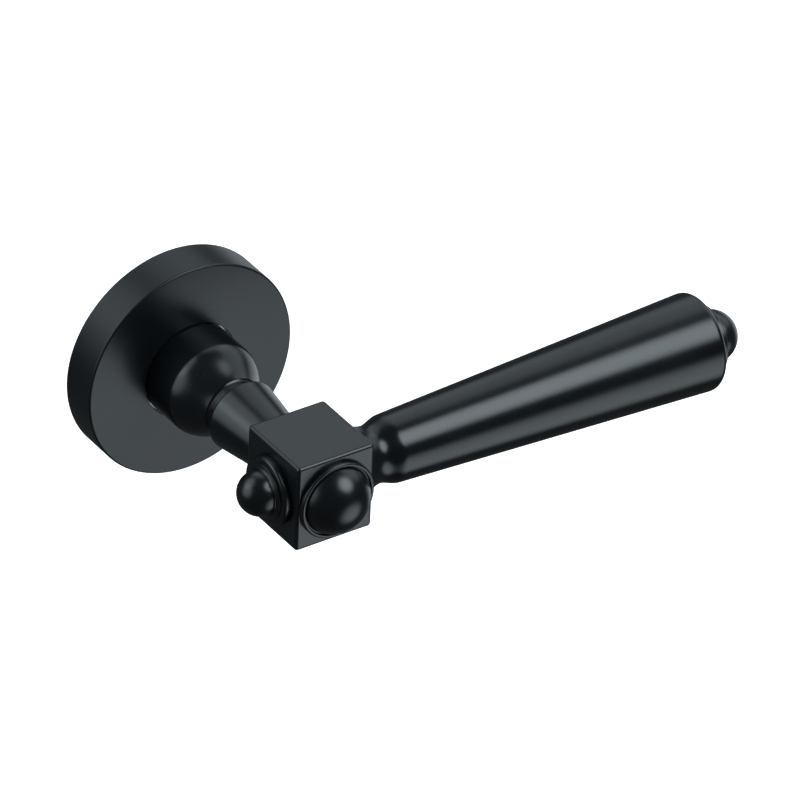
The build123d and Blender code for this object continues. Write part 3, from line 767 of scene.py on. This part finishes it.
# ---------------------------------------------------------------- the rose


@dataclass
class Rose:
    """Cover, base plate and what they hold, all fixed to the door. Sizes in millimetres."""

    finishes: Finishes
    radius: float = 26.2
    height: float = 9.4
    wall: float = 1.5
    face: float = 1.6
    edge_round: float = 0.5
    collar_bore: float = 11.7
    snap_groove: tuple[float, float, float] = (0.6, 2.0, 24.81)
    plate_radius: float = 24.45
    plate_thickness: float = 2.6
    plate_groove_radius: float = 23.55
    pocket_radius: float = 11.8
    pocket_depth: float = 2.4
    hub_bore: float = 10.08
    hub_radius: float = 12.28
    hub_height: float = 5.6
    post_places: float = 19.0
    post_hole: float = 2.93
    screw_places: float = 18.5
    screw_hole: float = 1.9
    screw_head: float = 3.6
    pin_hole: float = 1.03
    ejector_marks: int = 6
    ejector_ring: float = 15.2
    ejector_radius: float = 1.6
    ejector_depth: float = 0.12
    bush_bore: float = 9.05
    bush_sleeve: float = 10.05
    bush_flange: float = 12.2
    bush_flange_height: float = 0.7

    def build(self) -> None:
        """Makes the cover, the plate, the bush and the small wire parts."""
        self._cover()
        self._plate()
        self._bush()
        for node, edge in (("stop_pins", 0.06), ("snap_ring", 0.0)):
            piece = Workshop.copy_of(node, node + "_fitted")
            slot = Slot.STEEL if node == "stop_pins" else Slot.SPRING
            material = self.finishes.steel if node == "stop_pins" else self.finishes.spring
            Workshop.finish(piece, material, Body.ROSE, slot, node, edge)

    def _cover(self) -> None:
        """Turns the cover: a shallow cup with a bore for the collar and a groove inside its rim."""
        inner = self.radius - self.wall
        under = self.height - self.face
        low, high, deep = self.snap_groove
        outline = Outline()
        outline.line(0, self.radius, 0.15).line(self.height, self.radius, self.edge_round)
        outline.line(self.height, self.collar_bore, 0.12).line(under, self.collar_bore, 0.1)
        outline.line(under, inner).line(high, inner).line(high, deep).line(low, deep).line(low, inner)
        outline.line(0, inner, 0.1)
        piece = Workshop.turn("rose_cover_shell", outline, Workshop.SPINDLE_AXIS, closed=True, segments=224)
        Workshop.finish(piece, self.finishes.rose_coat, Body.ROSE, Slot.COAT, "rose_cover")

    def _plate(self) -> None:
        """Turns the plate and its hub, and drills it."""
        top = self.plate_thickness
        low, high, _ = self.snap_groove
        outline = Outline()
        outline.line(0, self.pocket_radius, 0.12).line(self.pocket_depth, self.pocket_radius)
        outline.line(self.pocket_depth, self.hub_bore).line(self.hub_height, self.hub_bore, 0.15)
        outline.line(self.hub_height, self.hub_radius, 0.3).line(top, self.hub_radius)
        outline.line(top, self.plate_radius, 0.2).line(high, self.plate_radius)
        outline.line(high, self.plate_groove_radius).line(low, self.plate_groove_radius)
        outline.line(low, self.plate_radius).line(0, self.plate_radius, 0.2)
        piece = Workshop.turn("base_plate_casting", outline, Workshop.SPINDLE_AXIS, closed=True, segments=160)
        tools = []
        for side in (-1, 1):
            x = side * self.post_places
            tools.append(Workshop.rod(place(x, -1, 0), place(x, top + 1, 0), self.post_hole * MM))
            z = side * self.screw_places
            tools.append(Workshop.rod(place(0, -1, z), place(0, top + 1, z), self.screw_hole * MM))
            sink = self.screw_head - self.screw_hole
            tools.append(
                Workshop.rod(
                    place(0, top - sink - 0.3, z),
                    place(0, top + 0.5, z),
                    (self.screw_hole - 0.3) * MM,
                    (self.screw_head + 0.5) * MM,
                )
            )
        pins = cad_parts["stop_pins"].data.vertices
        for side in (-1, 1):
            own = [vert.co for vert in pins if vert.co.x * side > 0]
            x = (max(co.x for co in own) + min(co.x for co in own)) / 2
            z = (max(co.z for co in own) + min(co.z for co in own)) / 2
            start = Vector((x, 1 * MM, z))
            tools.append(Workshop.rod(start, start - Vector((0, 5 * MM, 0)), self.pin_hole * MM))
        for index in range(self.ejector_marks):
            angle = 2 * math.pi * (index + 0.5) / self.ejector_marks
            x, z = self.ejector_ring * math.cos(angle), self.ejector_ring * math.sin(angle)
            deep = place(x, self.ejector_depth, z)
            tools.append(Workshop.rod(place(x, -0.5, z), deep, self.ejector_radius * MM))
        Workshop.cut(piece, tools)
        Workshop.finish(piece, self.finishes.zinc, Body.ROSE, Slot.ZINC, "base_plate")

    def _bush(self) -> None:
        """Turns the flanged bush that carries the shank."""
        top = self.hub_height + self.bush_flange_height
        outline = Outline()
        outline.line(self.pocket_depth, self.bush_bore, 0.1)
        outline.line(self.pocket_depth, self.bush_sleeve, 0.08).line(self.hub_height, self.bush_sleeve)
        outline.line(self.hub_height, self.bush_flange, 0.1)
        outline.line(top, self.bush_flange, 0.15).line(top, self.bush_bore, 0.15)
        piece = Workshop.turn("bearing_bush_moulded", outline, Workshop.SPINDLE_AXIS, closed=True)
        Workshop.finish(piece, self.finishes.acetal, Body.ROSE, Slot.ACETAL, "bearing_bush")


@dataclass
class FixingPosts:
    """Two threaded posts swaged into the plate. Sizes in millimetres."""

    finishes: Finishes
    spacing: float = 38.0
    reach: float = 3.8
    radius: float = 3.75
    neck_radius: float = 2.9
    neck_top: float = 2.6
    head_radius: float = 3.9
    head_top: float = 3.4
    bore: float = 1.65
    thread_pitch: float = 0.7
    thread_depth: float = 0.3
    thread_run_out: float = 0.4
    rings_per_turn: int = 10

    def build(self) -> None:
        """Turns one post, cuts its thread and sets out the pair."""
        outline = Outline()
        outline.line(-self.reach, self.bore, 0.0).line(-self.reach, self.radius, 0.5)
        outline.line(0, self.radius, 0.1).line(0, self.neck_radius).line(self.neck_top, self.neck_radius)
        outline.line(self.neck_top, self.head_radius, 0.15).line(self.head_top, self.head_radius, 0.35)
        outline.line(self.head_top, self.bore)
        length = self.head_top + self.reach
        rings = round(length / self.thread_pitch * self.rings_per_turn)
        for ring in range(1, rings):
            outline.line(self.head_top - length * ring / rings, self.bore)
        piece = Workshop.turn("fixing_posts_turned", outline, Workshop.SPINDLE_AXIS, closed=True, segments=48)
        for vert in piece.data.vertices:
            reach = math.hypot(vert.co.x, vert.co.z) / MM
            height = -vert.co.y / MM
            inside = min(height + self.reach, self.head_top - height)
            if reach < self.bore + 0.01 and inside > 0.01:
                turn = math.atan2(vert.co.z, vert.co.x) / (2 * math.pi)
                phase = (height / self.thread_pitch + turn) % 1.0
                depth = self.thread_depth * (1 - abs(2 * phase - 1)) * min(1.0, inside / self.thread_run_out)
                vert.co.x *= 1 + depth / self.bore
                vert.co.z *= 1 + depth / self.bore
        self._set_out(piece)
        Workshop.finish(piece, self.finishes.steel, Body.ROSE, Slot.STEEL, "fixing_posts")

    def _set_out(self, piece: bpy.types.Object) -> None:
        """Sets out the pair of posts across the rose with Geometry Nodes."""
        recipe = Recipe("post_pair")
        spacing = recipe.given("Spacing", self.spacing * MM)
        graph = recipe.graph
        start = graph.node("ShaderNodeCombineXYZ", inputs={"X": spacing * -0.5})
        step = graph.node("ShaderNodeCombineXYZ", inputs={"X": spacing})
        places = graph.node(
            "GeometryNodeMeshLine",
            {"mode": "OFFSET"},
            {"Count": 2, "Start Location": start, "Offset": step},
        )
        pair = graph.node(
            "GeometryNodeInstanceOnPoints", inputs={"Points": places, "Instance": recipe.geometry()}
        )
        recipe.run(piece, pair, self.finishes.steel)


@dataclass
class ReturnSpring:
    """Torsion spring round the hub, with two straight legs. Sizes in millimetres."""

    finishes: Finishes
    wire: float = 0.55
    pitch: float = 1.2
    coil_radius: float = 14.0
    coil_base: float = 3.3
    fixed_leg: float = 59.846
    moving_leg: float = 105.0
    leg_length: float = 4.4

    def build(self) -> None:
        """Winds the spring with Geometry Nodes."""
        turns = 2 - (self.moving_leg - self.fixed_leg) / 360
        recipe = Recipe("spring_winding")
        wire = recipe.given("Wire Radius", self.wire * MM)
        radius = recipe.given("Coil Radius", self.coil_radius * MM)
        graph = recipe.graph
        height = turns * self.pitch * MM
        coil = graph.node(
            "GeometryNodeCurveSpiral",
            inputs={
                "Resolution": 90,
                "Rotations": turns,
                "Start Radius": radius,
                "End Radius": radius,
                "Height": height,
                "Reverse": True,
            },
        )
        parts = [coil]
        for angle, rise in ((0.0, 0.0), (-turns * 2 * math.pi, height)):
            way = Vector((math.cos(angle), math.sin(angle), 0))
            inner = way * self.coil_radius * MM + Vector((0, 0, rise))
            outer = way * (self.coil_radius + self.leg_length) * MM + Vector((0, 0, rise))
            ends = {"Start": tuple(inner), "End": tuple(outer)}
            parts.append(graph.node("GeometryNodeCurvePrimitiveLine", inputs=ends))
        section = graph.node("GeometryNodeCurvePrimitiveCircle", inputs={"Resolution": 14, "Radius": wire})
        join = graph.tree.nodes.new("GeometryNodeJoinGeometry")
        for part in parts:
            solid = graph.node(
                "GeometryNodeCurveToMesh", inputs={"Curve": part, "Profile Curve": section, "Fill Caps": True}
            )
            graph.tree.links.new(solid.socket, join.inputs[0])
        angle = math.radians(self.fixed_leg)
        across = Vector((math.cos(angle), 0, math.sin(angle)))
        out = Vector((0, -1, 0))
        frame = Matrix((across, out.cross(across), out)).transposed().to_euler()
        wound = graph.node(
            "GeometryNodeTransform",
            inputs={
                "Geometry": Value(graph, join.outputs[0]),
                "Translation": tuple(place(0, self.coil_base, 0)),
                "Rotation": tuple(frame),
            },
        )
        piece = Workshop.new_object("return_spring_wound", bmesh.new())
        recipe.run(piece, wound, self.finishes.spring)
        Workshop.finish(piece, self.finishes.spring, Body.ROSE, Slot.SPRING, "return_spring")


# ---------------------------------------------------------------- the lever


@dataclass
class Neck:
    """Shank, collar, bell, throat and taper, turned in one piece. Sizes in millimetres."""

    finishes: Finishes
    journal: float = 9.0
    start: float = 0.2
    groove: tuple[float, float, float] = (0.5, 1.6, 8.5)
    collar_seat: float = 7.35
    collar_radius: float = 11.35
    collar_height: float = 17.6
    lip_radius: float = 7.2
    lip_height: float = 26.4
    lip_slope: float = -0.45
    throat_radius: float = 6.7
    throat_top: float = 29.6
    shoulder_radius: float = 8.6
    shoulder_round: float = 1.3
    end_radius: float = 6.2
    block_back: float = 46.7
    tenon: float = 8.0
    tenon_top: float = 51.7
    driver_base: float = 6.35
    driver_flat: float = 7.5
    socket_play: float = 0.05
    screw_bore: float = 2.53
    grub_play: float = 0.03
    grub_reach: float = 12.0

    def build(self) -> None:
        """Turns the neck, mills its tenon and flats, and bores it."""
        low, high, deep = self.groove
        outline = Outline()
        outline.line(self.start, 0).line(self.start, self.journal, 0.25).line(low, self.journal)
        outline.line(low, deep).line(high, deep).line(high, self.journal)
        outline.line(self.collar_seat, self.journal).line(self.collar_seat, self.collar_radius, 0.2)
        outline.line(self.collar_height, self.collar_radius)
        outline.ease(self.lip_height, self.lip_radius, 0.0, self.lip_slope, 36)
        outline.line(self.lip_height + 0.001, self.throat_radius + 0.35)
        outline.ease(self.lip_height + 0.45, self.throat_radius, -0.9, 0.0, 6)
        outline.line(self.throat_top - 0.3, self.throat_radius)
        outline.ease(self.throat_top, self.throat_radius + 0.3, 0.0, 1.6, 6)
        outline.line(self.throat_top, self.shoulder_radius, self.shoulder_round)
        outline.line(self.block_back, self.end_radius).line(self.block_back, 0)
        piece = Workshop.turn("lever_neck_turned", outline, Workshop.SPINDLE_AXIS, segments=176)
        half = self.tenon / 2
        tenon = Workshop.prism(
            "tenon", place(-half, self.tenon_top, -half), place(half, self.block_back - 1, half), 0.1 * MM
        )
        Workshop.cut(piece, [tenon], "UNION")
        Workshop.cut(piece, self._bores())
        Workshop.finish(piece, self.finishes.turned_coat, Body.LEVER, Slot.COAT, "lever_neck")

    def _bores(self) -> list[bpy.types.Object]:
        """Makes the cutters of the socket, the screw holes and the driver's flats.

        Returns:
            The cutters.
        """
        play = Vector((1, 0, 1)) * self.socket_play * MM
        low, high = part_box("spindle")
        tools = [Workshop.prism("socket", Vector(low) - play, Vector(high) + play)]
        screw_low, screw_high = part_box("block_screw")
        end = place(0, self.tenon_top + 0.2, 0)
        tools.append(Workshop.rod(Vector((0, screw_high[1] + MM, 0)), end, self.screw_bore * MM))
        grub_low, grub_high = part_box("spindle_grub_screw")
        middle = (grub_low[1] + grub_high[1]) / 2
        radius = (grub_high[0] - grub_low[0]) / 2 + self.grub_play * MM
        bottom = Vector((0, middle, -self.grub_reach * MM))
        tools.append(Workshop.rod(Vector((0, middle, 0)), bottom, radius))
        for side in (-1, 1):
            inner, outer = side * self.driver_flat, side * (self.journal + 1)
            bottom = place(-10, self.collar_seat - 0.001, min(inner, outer))
            top = place(10, self.driver_base, max(inner, outer))
            tools.append(Workshop.prism("flat", bottom, top))
        return tools


@dataclass
class CornerBlock:
    """Square block with its front dome and its side finial. Sizes in millimetres."""

    finishes: Finishes
    edge_round: float = 0.85
    counterbore: float = 5.0
    counterbore_depth: float = 5.75
    side_depth: float = 5.1
    socket_half: float = 4.03
    socket_depth: float = 5.03
    screw_bore: float = 2.75
    stud_bore: float = 2.53
    rod_bore: float = 3.03
    grub_bore: float = 2.03
    plug_play: float = 0.03
    plug_depth: float = 2.2
    stud_radius: float = 2.5
    rim_radius: float = 9.3
    rim_height: float = 1.3
    rim_width: float = 0.9
    rim_rounds: tuple[float, float] = (0.48, 0.38)
    dome_radius: float = 8.2
    dome_base: float = 0.75
    dome_rise: float = 6.18
    foot_radius: float = 7.9
    foot_height: float = 1.8
    step_radius: float = 6.4
    step_height: float = 2.15
    bead_radius: float = 5.5
    bead_base: float = 2.55
    bead_height: float = 2.8
    ball_radius: float = 5.2
    ball_height: float = 2.95

    def __post_init__(self) -> None:
        """Reads the block's place from the frame, in millimetres."""
        low, high = (Vector(corner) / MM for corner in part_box("corner_block"))
        self.low, self.high = low, high
        self.front, self.back = -low.y, -high.y
        self.side = high.x
        self.axis_height = (self.front + self.back) / 2

    def build(self) -> None:
        """Makes the block, the dome and the finial."""
        self._block()
        self._dome()
        self._finial()

    def _block(self) -> None:
        """Mills the block, rounds its edges and bores it for its neighbours."""
        piece = Workshop.prism(
            "corner_block_milled", self.low * MM, self.high * MM, self.edge_round * MM, 6
        )
        height, half = self.axis_height, self.socket_half
        screw_low, screw_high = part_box("grip_grub_screw")
        grub_x = (screw_low[0] + screw_high[0]) / 2 / MM
        socket_end = place(-half, self.back + self.socket_depth, -half)
        tools = [Workshop.prism("tenon_socket", socket_end, place(half, self.back - 1, half))]
        front = place(0, self.front + 1, 0)
        side = self.side + 1
        left, right = self.side_depth - self.side, self.side - self.side_depth
        bores = (
            (place(0, self.back + 4, 0), place(0, self.front - 5, 0), self.screw_bore),
            (place(0, self.front - self.counterbore_depth, 0), front, self.counterbore),
            (place(-side, height, 0), place(left, height, 0), self.stud_bore),
            (place(side, height, 0), place(right, height, 0), self.rod_bore),
        )
        tools.extend(Workshop.rod(start, end, radius * MM) for start, end, radius in bores)
        under = place(grub_x, height, -self.high.z - 1)
        tools.append(Workshop.rod(place(grub_x, height, 0), under, self.grub_bore * MM, sides=48))
        Workshop.cut(piece, tools)
        Workshop.finish(piece, self.finishes.block_coat, Body.LEVER, Slot.COAT, "corner_block")

    def _dome(self) -> None:
        """Turns the domed cap with its beaded rim and its plug."""
        rim_top = self.front + self.rim_height
        base = self.front + self.dome_base
        ball = (self.dome_radius**2 + self.dome_rise**2) / (2 * self.dome_rise)
        plug, inner = self.counterbore - self.plug_play, self.front - self.plug_depth
        outline = Outline()
        outline.line(inner, 0).line(inner, plug, 0.2).line(self.front, plug)
        outline.line(self.front, self.rim_radius, 0.1).line(rim_top, self.rim_radius, self.rim_rounds[0])
        outline.line(rim_top, self.rim_radius - self.rim_width, self.rim_rounds[1])
        outline.line(base, self.rim_radius - self.rim_width, 0.05)
        top = base + self.dome_rise
        outline.ball(top - ball, ball, base, top, 48)
        piece = Workshop.turn("front_dome_turned", outline, Workshop.SPINDLE_AXIS, segments=176)
        Workshop.finish(piece, self.finishes.ball_coat, Body.LEVER, Slot.COAT, "front_dome")

    def _finial(self) -> None:
        """Turns the finial: stud, foot, step, cove, bead and ball."""
        inner, stud = 0.5 - self.side_depth, self.stud_radius
        outline = Outline()
        outline.line(inner, 0).line(inner, stud, 0.3).line(0, stud)
        outline.line(0, self.foot_radius, 0.3).line(self.foot_height, self.foot_radius, 0.7)
        outline.line(self.foot_height, self.step_radius).line(self.step_height, self.step_radius, 0.12)
        outline.ease(self.bead_base, self.bead_radius, -3.6, -1.2, 8)
        outline.line(self.bead_height, self.bead_radius, 0.12)
        start = self.bead_height - 0.02
        top = self.ball_height + self.ball_radius
        outline.ball(self.ball_height, self.ball_radius, start, top, 48)
        turned = Matrix(((-1, 0, 0), (0, 1, 0), (0, 0, 1)))
        piece = Workshop.turn(
            "side_finial_turned", outline, turned, place(self.low.x, self.axis_height, 0), segments=144
        )
        Workshop.finish(piece, self.finishes.ball_coat, Body.LEVER, Slot.COAT, "side_finial")


@dataclass
class Grip:
    """Flared foot, waist, long cone, end ring and cap. Sizes in millimetres from the block's face."""

    finishes: Finishes
    bore: float = 3.03
    foot_radius: float = 8.4
    waist_radius: float = 6.62
    waist_place: float = 6.28
    cone_place: float = 10.58
    cone_radius: float = 7.78
    length: float = 93.2
    end_radius: float = 11.48
    end_round: float = 1.65
    ring_radius: float = 8.1
    ring_flange: float = 2.2
    ring_neck: float = 6.9
    ring_width: float = 2.6
    cap_radius: float = 6.15
    cap_lift: float = 0.3
    cap_bite: float = 4.3

    def build(self) -> None:
        """Turns the grip, the ring and the cap."""
        low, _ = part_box("grip")
        height = sum(-corner[1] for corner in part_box("grip")) / 2
        origin = Vector((low[0], -height, 0))
        slope = (self.end_radius - self.cone_radius) / (self.length - self.cone_place)
        outline = Outline()
        outline.line(0, self.bore, 0.1).line(0, self.foot_radius)
        outline.ease(self.waist_place, self.waist_radius, -0.3, 0.115, 28)
        outline.ease(self.cone_place, self.cone_radius, 0.115, slope, 28)
        steps = 12
        for step in range(1, steps):
            along = self.cone_place + (self.length - self.cone_place - 4) * step / steps
            outline.line(along, self.cone_radius + slope * (along - self.cone_place))
        outline.line(self.length, self.end_radius, self.end_round).line(self.length, self.bore, 0.1)
        piece = Workshop.turn("grip_turned", outline, Workshop.GRIP_AXIS, origin, True, 176)
        Workshop.finish(piece, self.finishes.grip_coat, Body.LEVER, Slot.COAT, "grip")
        self._ring(origin)
        self._cap(origin)

    def _ring(self, origin: Vector) -> None:
        """Turns the ring between the grip and its cap."""
        start, end = self.length, self.length + self.ring_width
        outline = Outline()
        outline.line(start, self.bore, 0.05).line(start, self.ring_radius, 0.12)
        shoulder = start + self.ring_flange
        outline.line(shoulder, self.ring_radius, 0.3).line(shoulder, self.ring_neck)
        outline.line(end, self.ring_neck, 0.1).line(end, self.bore, 0.05)
        piece = Workshop.turn("end_ring_turned", outline, Workshop.GRIP_AXIS, origin, True, 144)
        Workshop.finish(piece, self.finishes.ball_coat, Body.LEVER, Slot.COAT, "end_ring")

    def _cap(self, origin: Vector) -> None:
        """Turns the ball-shaped cap nut with its blind bore."""
        base = self.length + self.ring_width
        centre = base + self.cap_lift
        outline = Outline()
        outline.line(base + self.cap_bite, 0).line(base + self.cap_bite, self.bore).line(base, self.bore, 0.1)
        outline.ball(centre, self.cap_radius, base, centre + self.cap_radius, 40)
        piece = Workshop.turn("end_cap_turned", outline, Workshop.GRIP_AXIS, origin, segments=144)
        Workshop.finish(piece, self.finishes.ball_coat, Body.LEVER, Slot.COAT, "end_cap")


@dataclass
class Hardware:
    """Steel parts inside the lever: spindle, screws, washer, driver and rod."""

    finishes: Finishes
    hex_depth: float = 1.8
    washer_bore: float = 9.1

    def build(self) -> None:
        """Makes each part."""
        self._spindle()
        self._washer()
        self._grub("spindle_grub_screw", 2.5)
        self._grub("grip_grub_screw", 2.0)
        copies = (
            ("spring_driver", self.finishes.steel, Slot.STEEL, 0.1),
            ("circlip", self.finishes.spring, Slot.SPRING, 0.07),
            ("block_screw", self.finishes.steel, Slot.STEEL, 0.12),
            ("tie_rod", self.finishes.steel, Slot.STEEL, 0.0),
        )
        for node, material, slot, edge in copies:
            piece = Workshop.copy_of(node, node + "_fitted")
            Workshop.finish(piece, material, Body.LEVER, slot, node, edge)

    def _spindle(self) -> None:
        """Draws the square spindle, with softened edges and the grub screw's bite in its underside."""
        low, high = (Vector(corner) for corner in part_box("spindle"))
        piece = Workshop.prism("spindle_drawn", low, high, 0.55 * MM, 3)
        grub_low, grub_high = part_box("spindle_grub_screw")
        middle = (grub_low[1] + grub_high[1]) / 2
        start = Vector((0, middle, low.z + 0.05 * MM))
        bite = Workshop.rod(start, start - Vector((0, 0, MM)), 1.2 * MM, 2.2 * MM, 48)
        Workshop.cut(piece, [bite])
        Workshop.finish(piece, self.finishes.steel, Body.LEVER, Slot.STEEL, "spindle")

    def _washer(self) -> None:
        """Turns the thrust washer."""
        low, high = (Vector(corner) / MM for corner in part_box("thrust_washer"))
        outline = Outline()
        outline.line(-high.y, self.washer_bore, 0.1).line(-high.y, high.x, 0.12)
        outline.line(-low.y, high.x, 0.12).line(-low.y, self.washer_bore, 0.1)
        piece = Workshop.turn("thrust_washer_turned", outline, Workshop.SPINDLE_AXIS, closed=True)
        Workshop.finish(piece, self.finishes.steel, Body.LEVER, Slot.STEEL, "thrust_washer")

    def _grub(self, node: str, across: float) -> None:
        """Turns a grub screw that points down, with a hexagon socket in its end.

        Args:
            node: The CAD node.
            across: Width of its hexagon across flats, in millimetres.
        """
        low, high = (Vector(corner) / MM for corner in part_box(node))
        radius = (high.x - low.x) / 2
        length = high.z - low.z
        outline = Outline()
        outline.line(0, 0).line(0, radius - 0.7).line(0.5, radius - 0.05)
        thread, turns = 0.35, int((length - 1.2) / 0.7)
        for turn in range(turns):
            start = 0.6 + turn * 0.7
            outline.line(start, radius - thread * 0.6).line(start + 0.35, radius)
        outline.line(length - 0.4, radius - 0.05).line(length, radius - 0.4).line(length, 0)
        origin = Vector(((low.x + high.x) / 2, (low.y + high.y) / 2, high.z)) * MM
        piece = Workshop.turn(node + "_turned", outline, Workshop.DOWNWARD, origin, segments=72)
        end = Vector((origin.x, origin.y, low.z * MM - 0.2 * MM))
        start = Vector((origin.x, origin.y, (low.z + self.hex_depth) * MM))
        Workshop.cut(piece, [Workshop.rod(start, end, across / math.sqrt(3) * MM, sides=6)])
        Workshop.finish(piece, self.finishes.screw, Body.LEVER, Slot.SCREW, node)


# ---------------------------------------------------------------- studio


@dataclass(frozen=True)
class SoftCard:
    """A soft patch of light far away, in degrees round from the front towards the grip, and up."""

    around: float
    up: float
    core: float
    edge: float
    strength: float

    def glow(self, ray: Value) -> Value:
        """The card's light along a ray: full inside its core, and none past its edge."""
        turn, lift = math.radians(self.around), math.radians(self.up)
        way = (math.sin(turn) * math.cos(lift), -math.cos(turn) * math.cos(lift), math.sin(lift))
        facing = ray.graph.node(
            "ShaderNodeVectorMath", {"operation": "DOT_PRODUCT"}, {0: ray, 1: way}, output="Value"
        )
        soft = facing.smooth(math.cos(math.radians(self.edge)), math.cos(math.radians(self.core)))
        return soft * self.strength


@dataclass
class Studio:
    """Pale floor, soft light all round, and the camera."""

    azimuth: float = -35.404
    elevation: float = 34.083
    roll: float = 2.73
    distance: float = 1.9406
    aim: tuple[float, float, float] = (0.0228994, -0.0565792, 0.0116814)
    lens: float = 405.0
    floor_drop: float = 0.9
    main_softbox: SoftCard = SoftCard(36, 48, 5, 27, 4.6)
    low_fill: SoftCard = SoftCard(28, -32, 4, 32, 1.7)
    left_level: SoftCard = SoftCard(-108, 18, 8, 34, 1.5)
    left_behind: SoftCard = SoftCard(-132, 42, 6, 32, 1.5)
    right_side: SoftCard = SoftCard(96, 38, 6, 30, 1.0)
    high_behind: SoftCard = SoftCard(146, 46, 6, 34, 0.9)
    right_low: SoftCard = SoftCard(116, -12, 6, 30, 0.8)
    room_light: float = 0.06

    def build(self) -> None:
        """Makes the floor, the light and the camera."""
        self._floor()
        self._sky()
        self._camera()

    def _floor(self) -> None:
        """Lays a plain pale floor well below the handle."""
        shape = bmesh.new()
        bmesh.ops.create_grid(shape, x_segments=1, y_segments=1, size=30.0)
        floor = Workshop.new_object("floor", shape)
        floor.location = (0, 0, -self.floor_drop)
        graph, material = Graph.of_material("pale_floor")
        graph.surface(
            {
                "Base Color": (0.86, 0.86, 0.86, 1.0),
                "Roughness": 0.9,
                "Emission Color": (1.0, 1.0, 1.0, 1.0),
                "Emission Strength": 0.75,
            }
        )
        floor.data.materials.append(material)
        floor.visible_glossy = False
        floor.visible_diffuse = False

    def _sky(self) -> None:
        """Surrounds the handle with soft cards; the camera itself sees plain white."""
        world = bpy.data.worlds.new("studio")
        bpy.context.scene.world = world
        world.use_nodes = True
        graph = Graph(world.node_tree)
        ray = graph.node("ShaderNodeTexCoord", output="Generated")
        cards = (self.low_fill, self.left_level, self.left_behind)
        cards += (self.right_side, self.high_behind, self.right_low)
        light = self.main_softbox.glow(ray) + self.room_light
        for card in cards:
            light = light + card.glow(ray)
        seen = graph.node("ShaderNodeLightPath", output="Is Camera Ray")
        shown = light * (1 - seen) + seen * 0.98
        colour = graph.tint(seen, (0.87, 0.98, 1.035), (1.0, 1.0, 1.0))
        back = graph.node("ShaderNodeBackground", inputs={"Color": colour, "Strength": shown})
        graph.node("ShaderNodeOutputWorld", inputs={"Surface": back})

    def _camera(self) -> None:
        """Stands the camera at its angle, rolled a little."""
        turn, lift, roll = (math.radians(a) for a in (self.azimuth, self.elevation, self.roll))
        back = Vector((math.sin(turn) * math.cos(lift), -math.cos(turn) * math.cos(lift), math.sin(lift)))
        level = Vector((math.cos(turn), math.sin(turn), 0))
        upright = back.cross(level)
        right = level * math.cos(roll) + upright * math.sin(roll)
        upward = upright * math.cos(roll) - level * math.sin(roll)
        data = bpy.data.cameras.new("camera")
        data.lens = self.lens
        data.sensor_width = 36.0
        data.clip_end = 100.0
        camera = bpy.data.objects.new("camera", data)
        stand = Vector(self.aim) + back * self.distance
        camera.matrix_world = Matrix.Translation(stand) @ Matrix((right, upward, back)).transposed().to_4x4()
        bpy.context.scene.collection.objects.link(camera)
        bpy.context.scene.camera = camera
        bpy.context.scene.view_settings.view_transform = "Standard"


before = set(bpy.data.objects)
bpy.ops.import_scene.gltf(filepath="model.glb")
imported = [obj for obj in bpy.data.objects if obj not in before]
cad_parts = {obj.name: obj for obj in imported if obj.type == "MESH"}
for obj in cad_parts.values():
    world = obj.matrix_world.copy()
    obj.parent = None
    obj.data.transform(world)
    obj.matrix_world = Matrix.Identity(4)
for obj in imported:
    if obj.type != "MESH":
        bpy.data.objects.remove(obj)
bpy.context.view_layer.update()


def main() -> None:
    """Builds the handle piece by piece, then the studio."""
    logging.basicConfig(level=logging.INFO, format="%(message)s")
    finishes = Finishes()
    for assembly in (Rose, FixingPosts, ReturnSpring, Neck, CornerBlock, Grip, Hardware):
        LOG.info("making the %s", assembly.__name__)
        assembly(finishes).build()
    Studio().build()


if __name__ == "__main__":
    main()
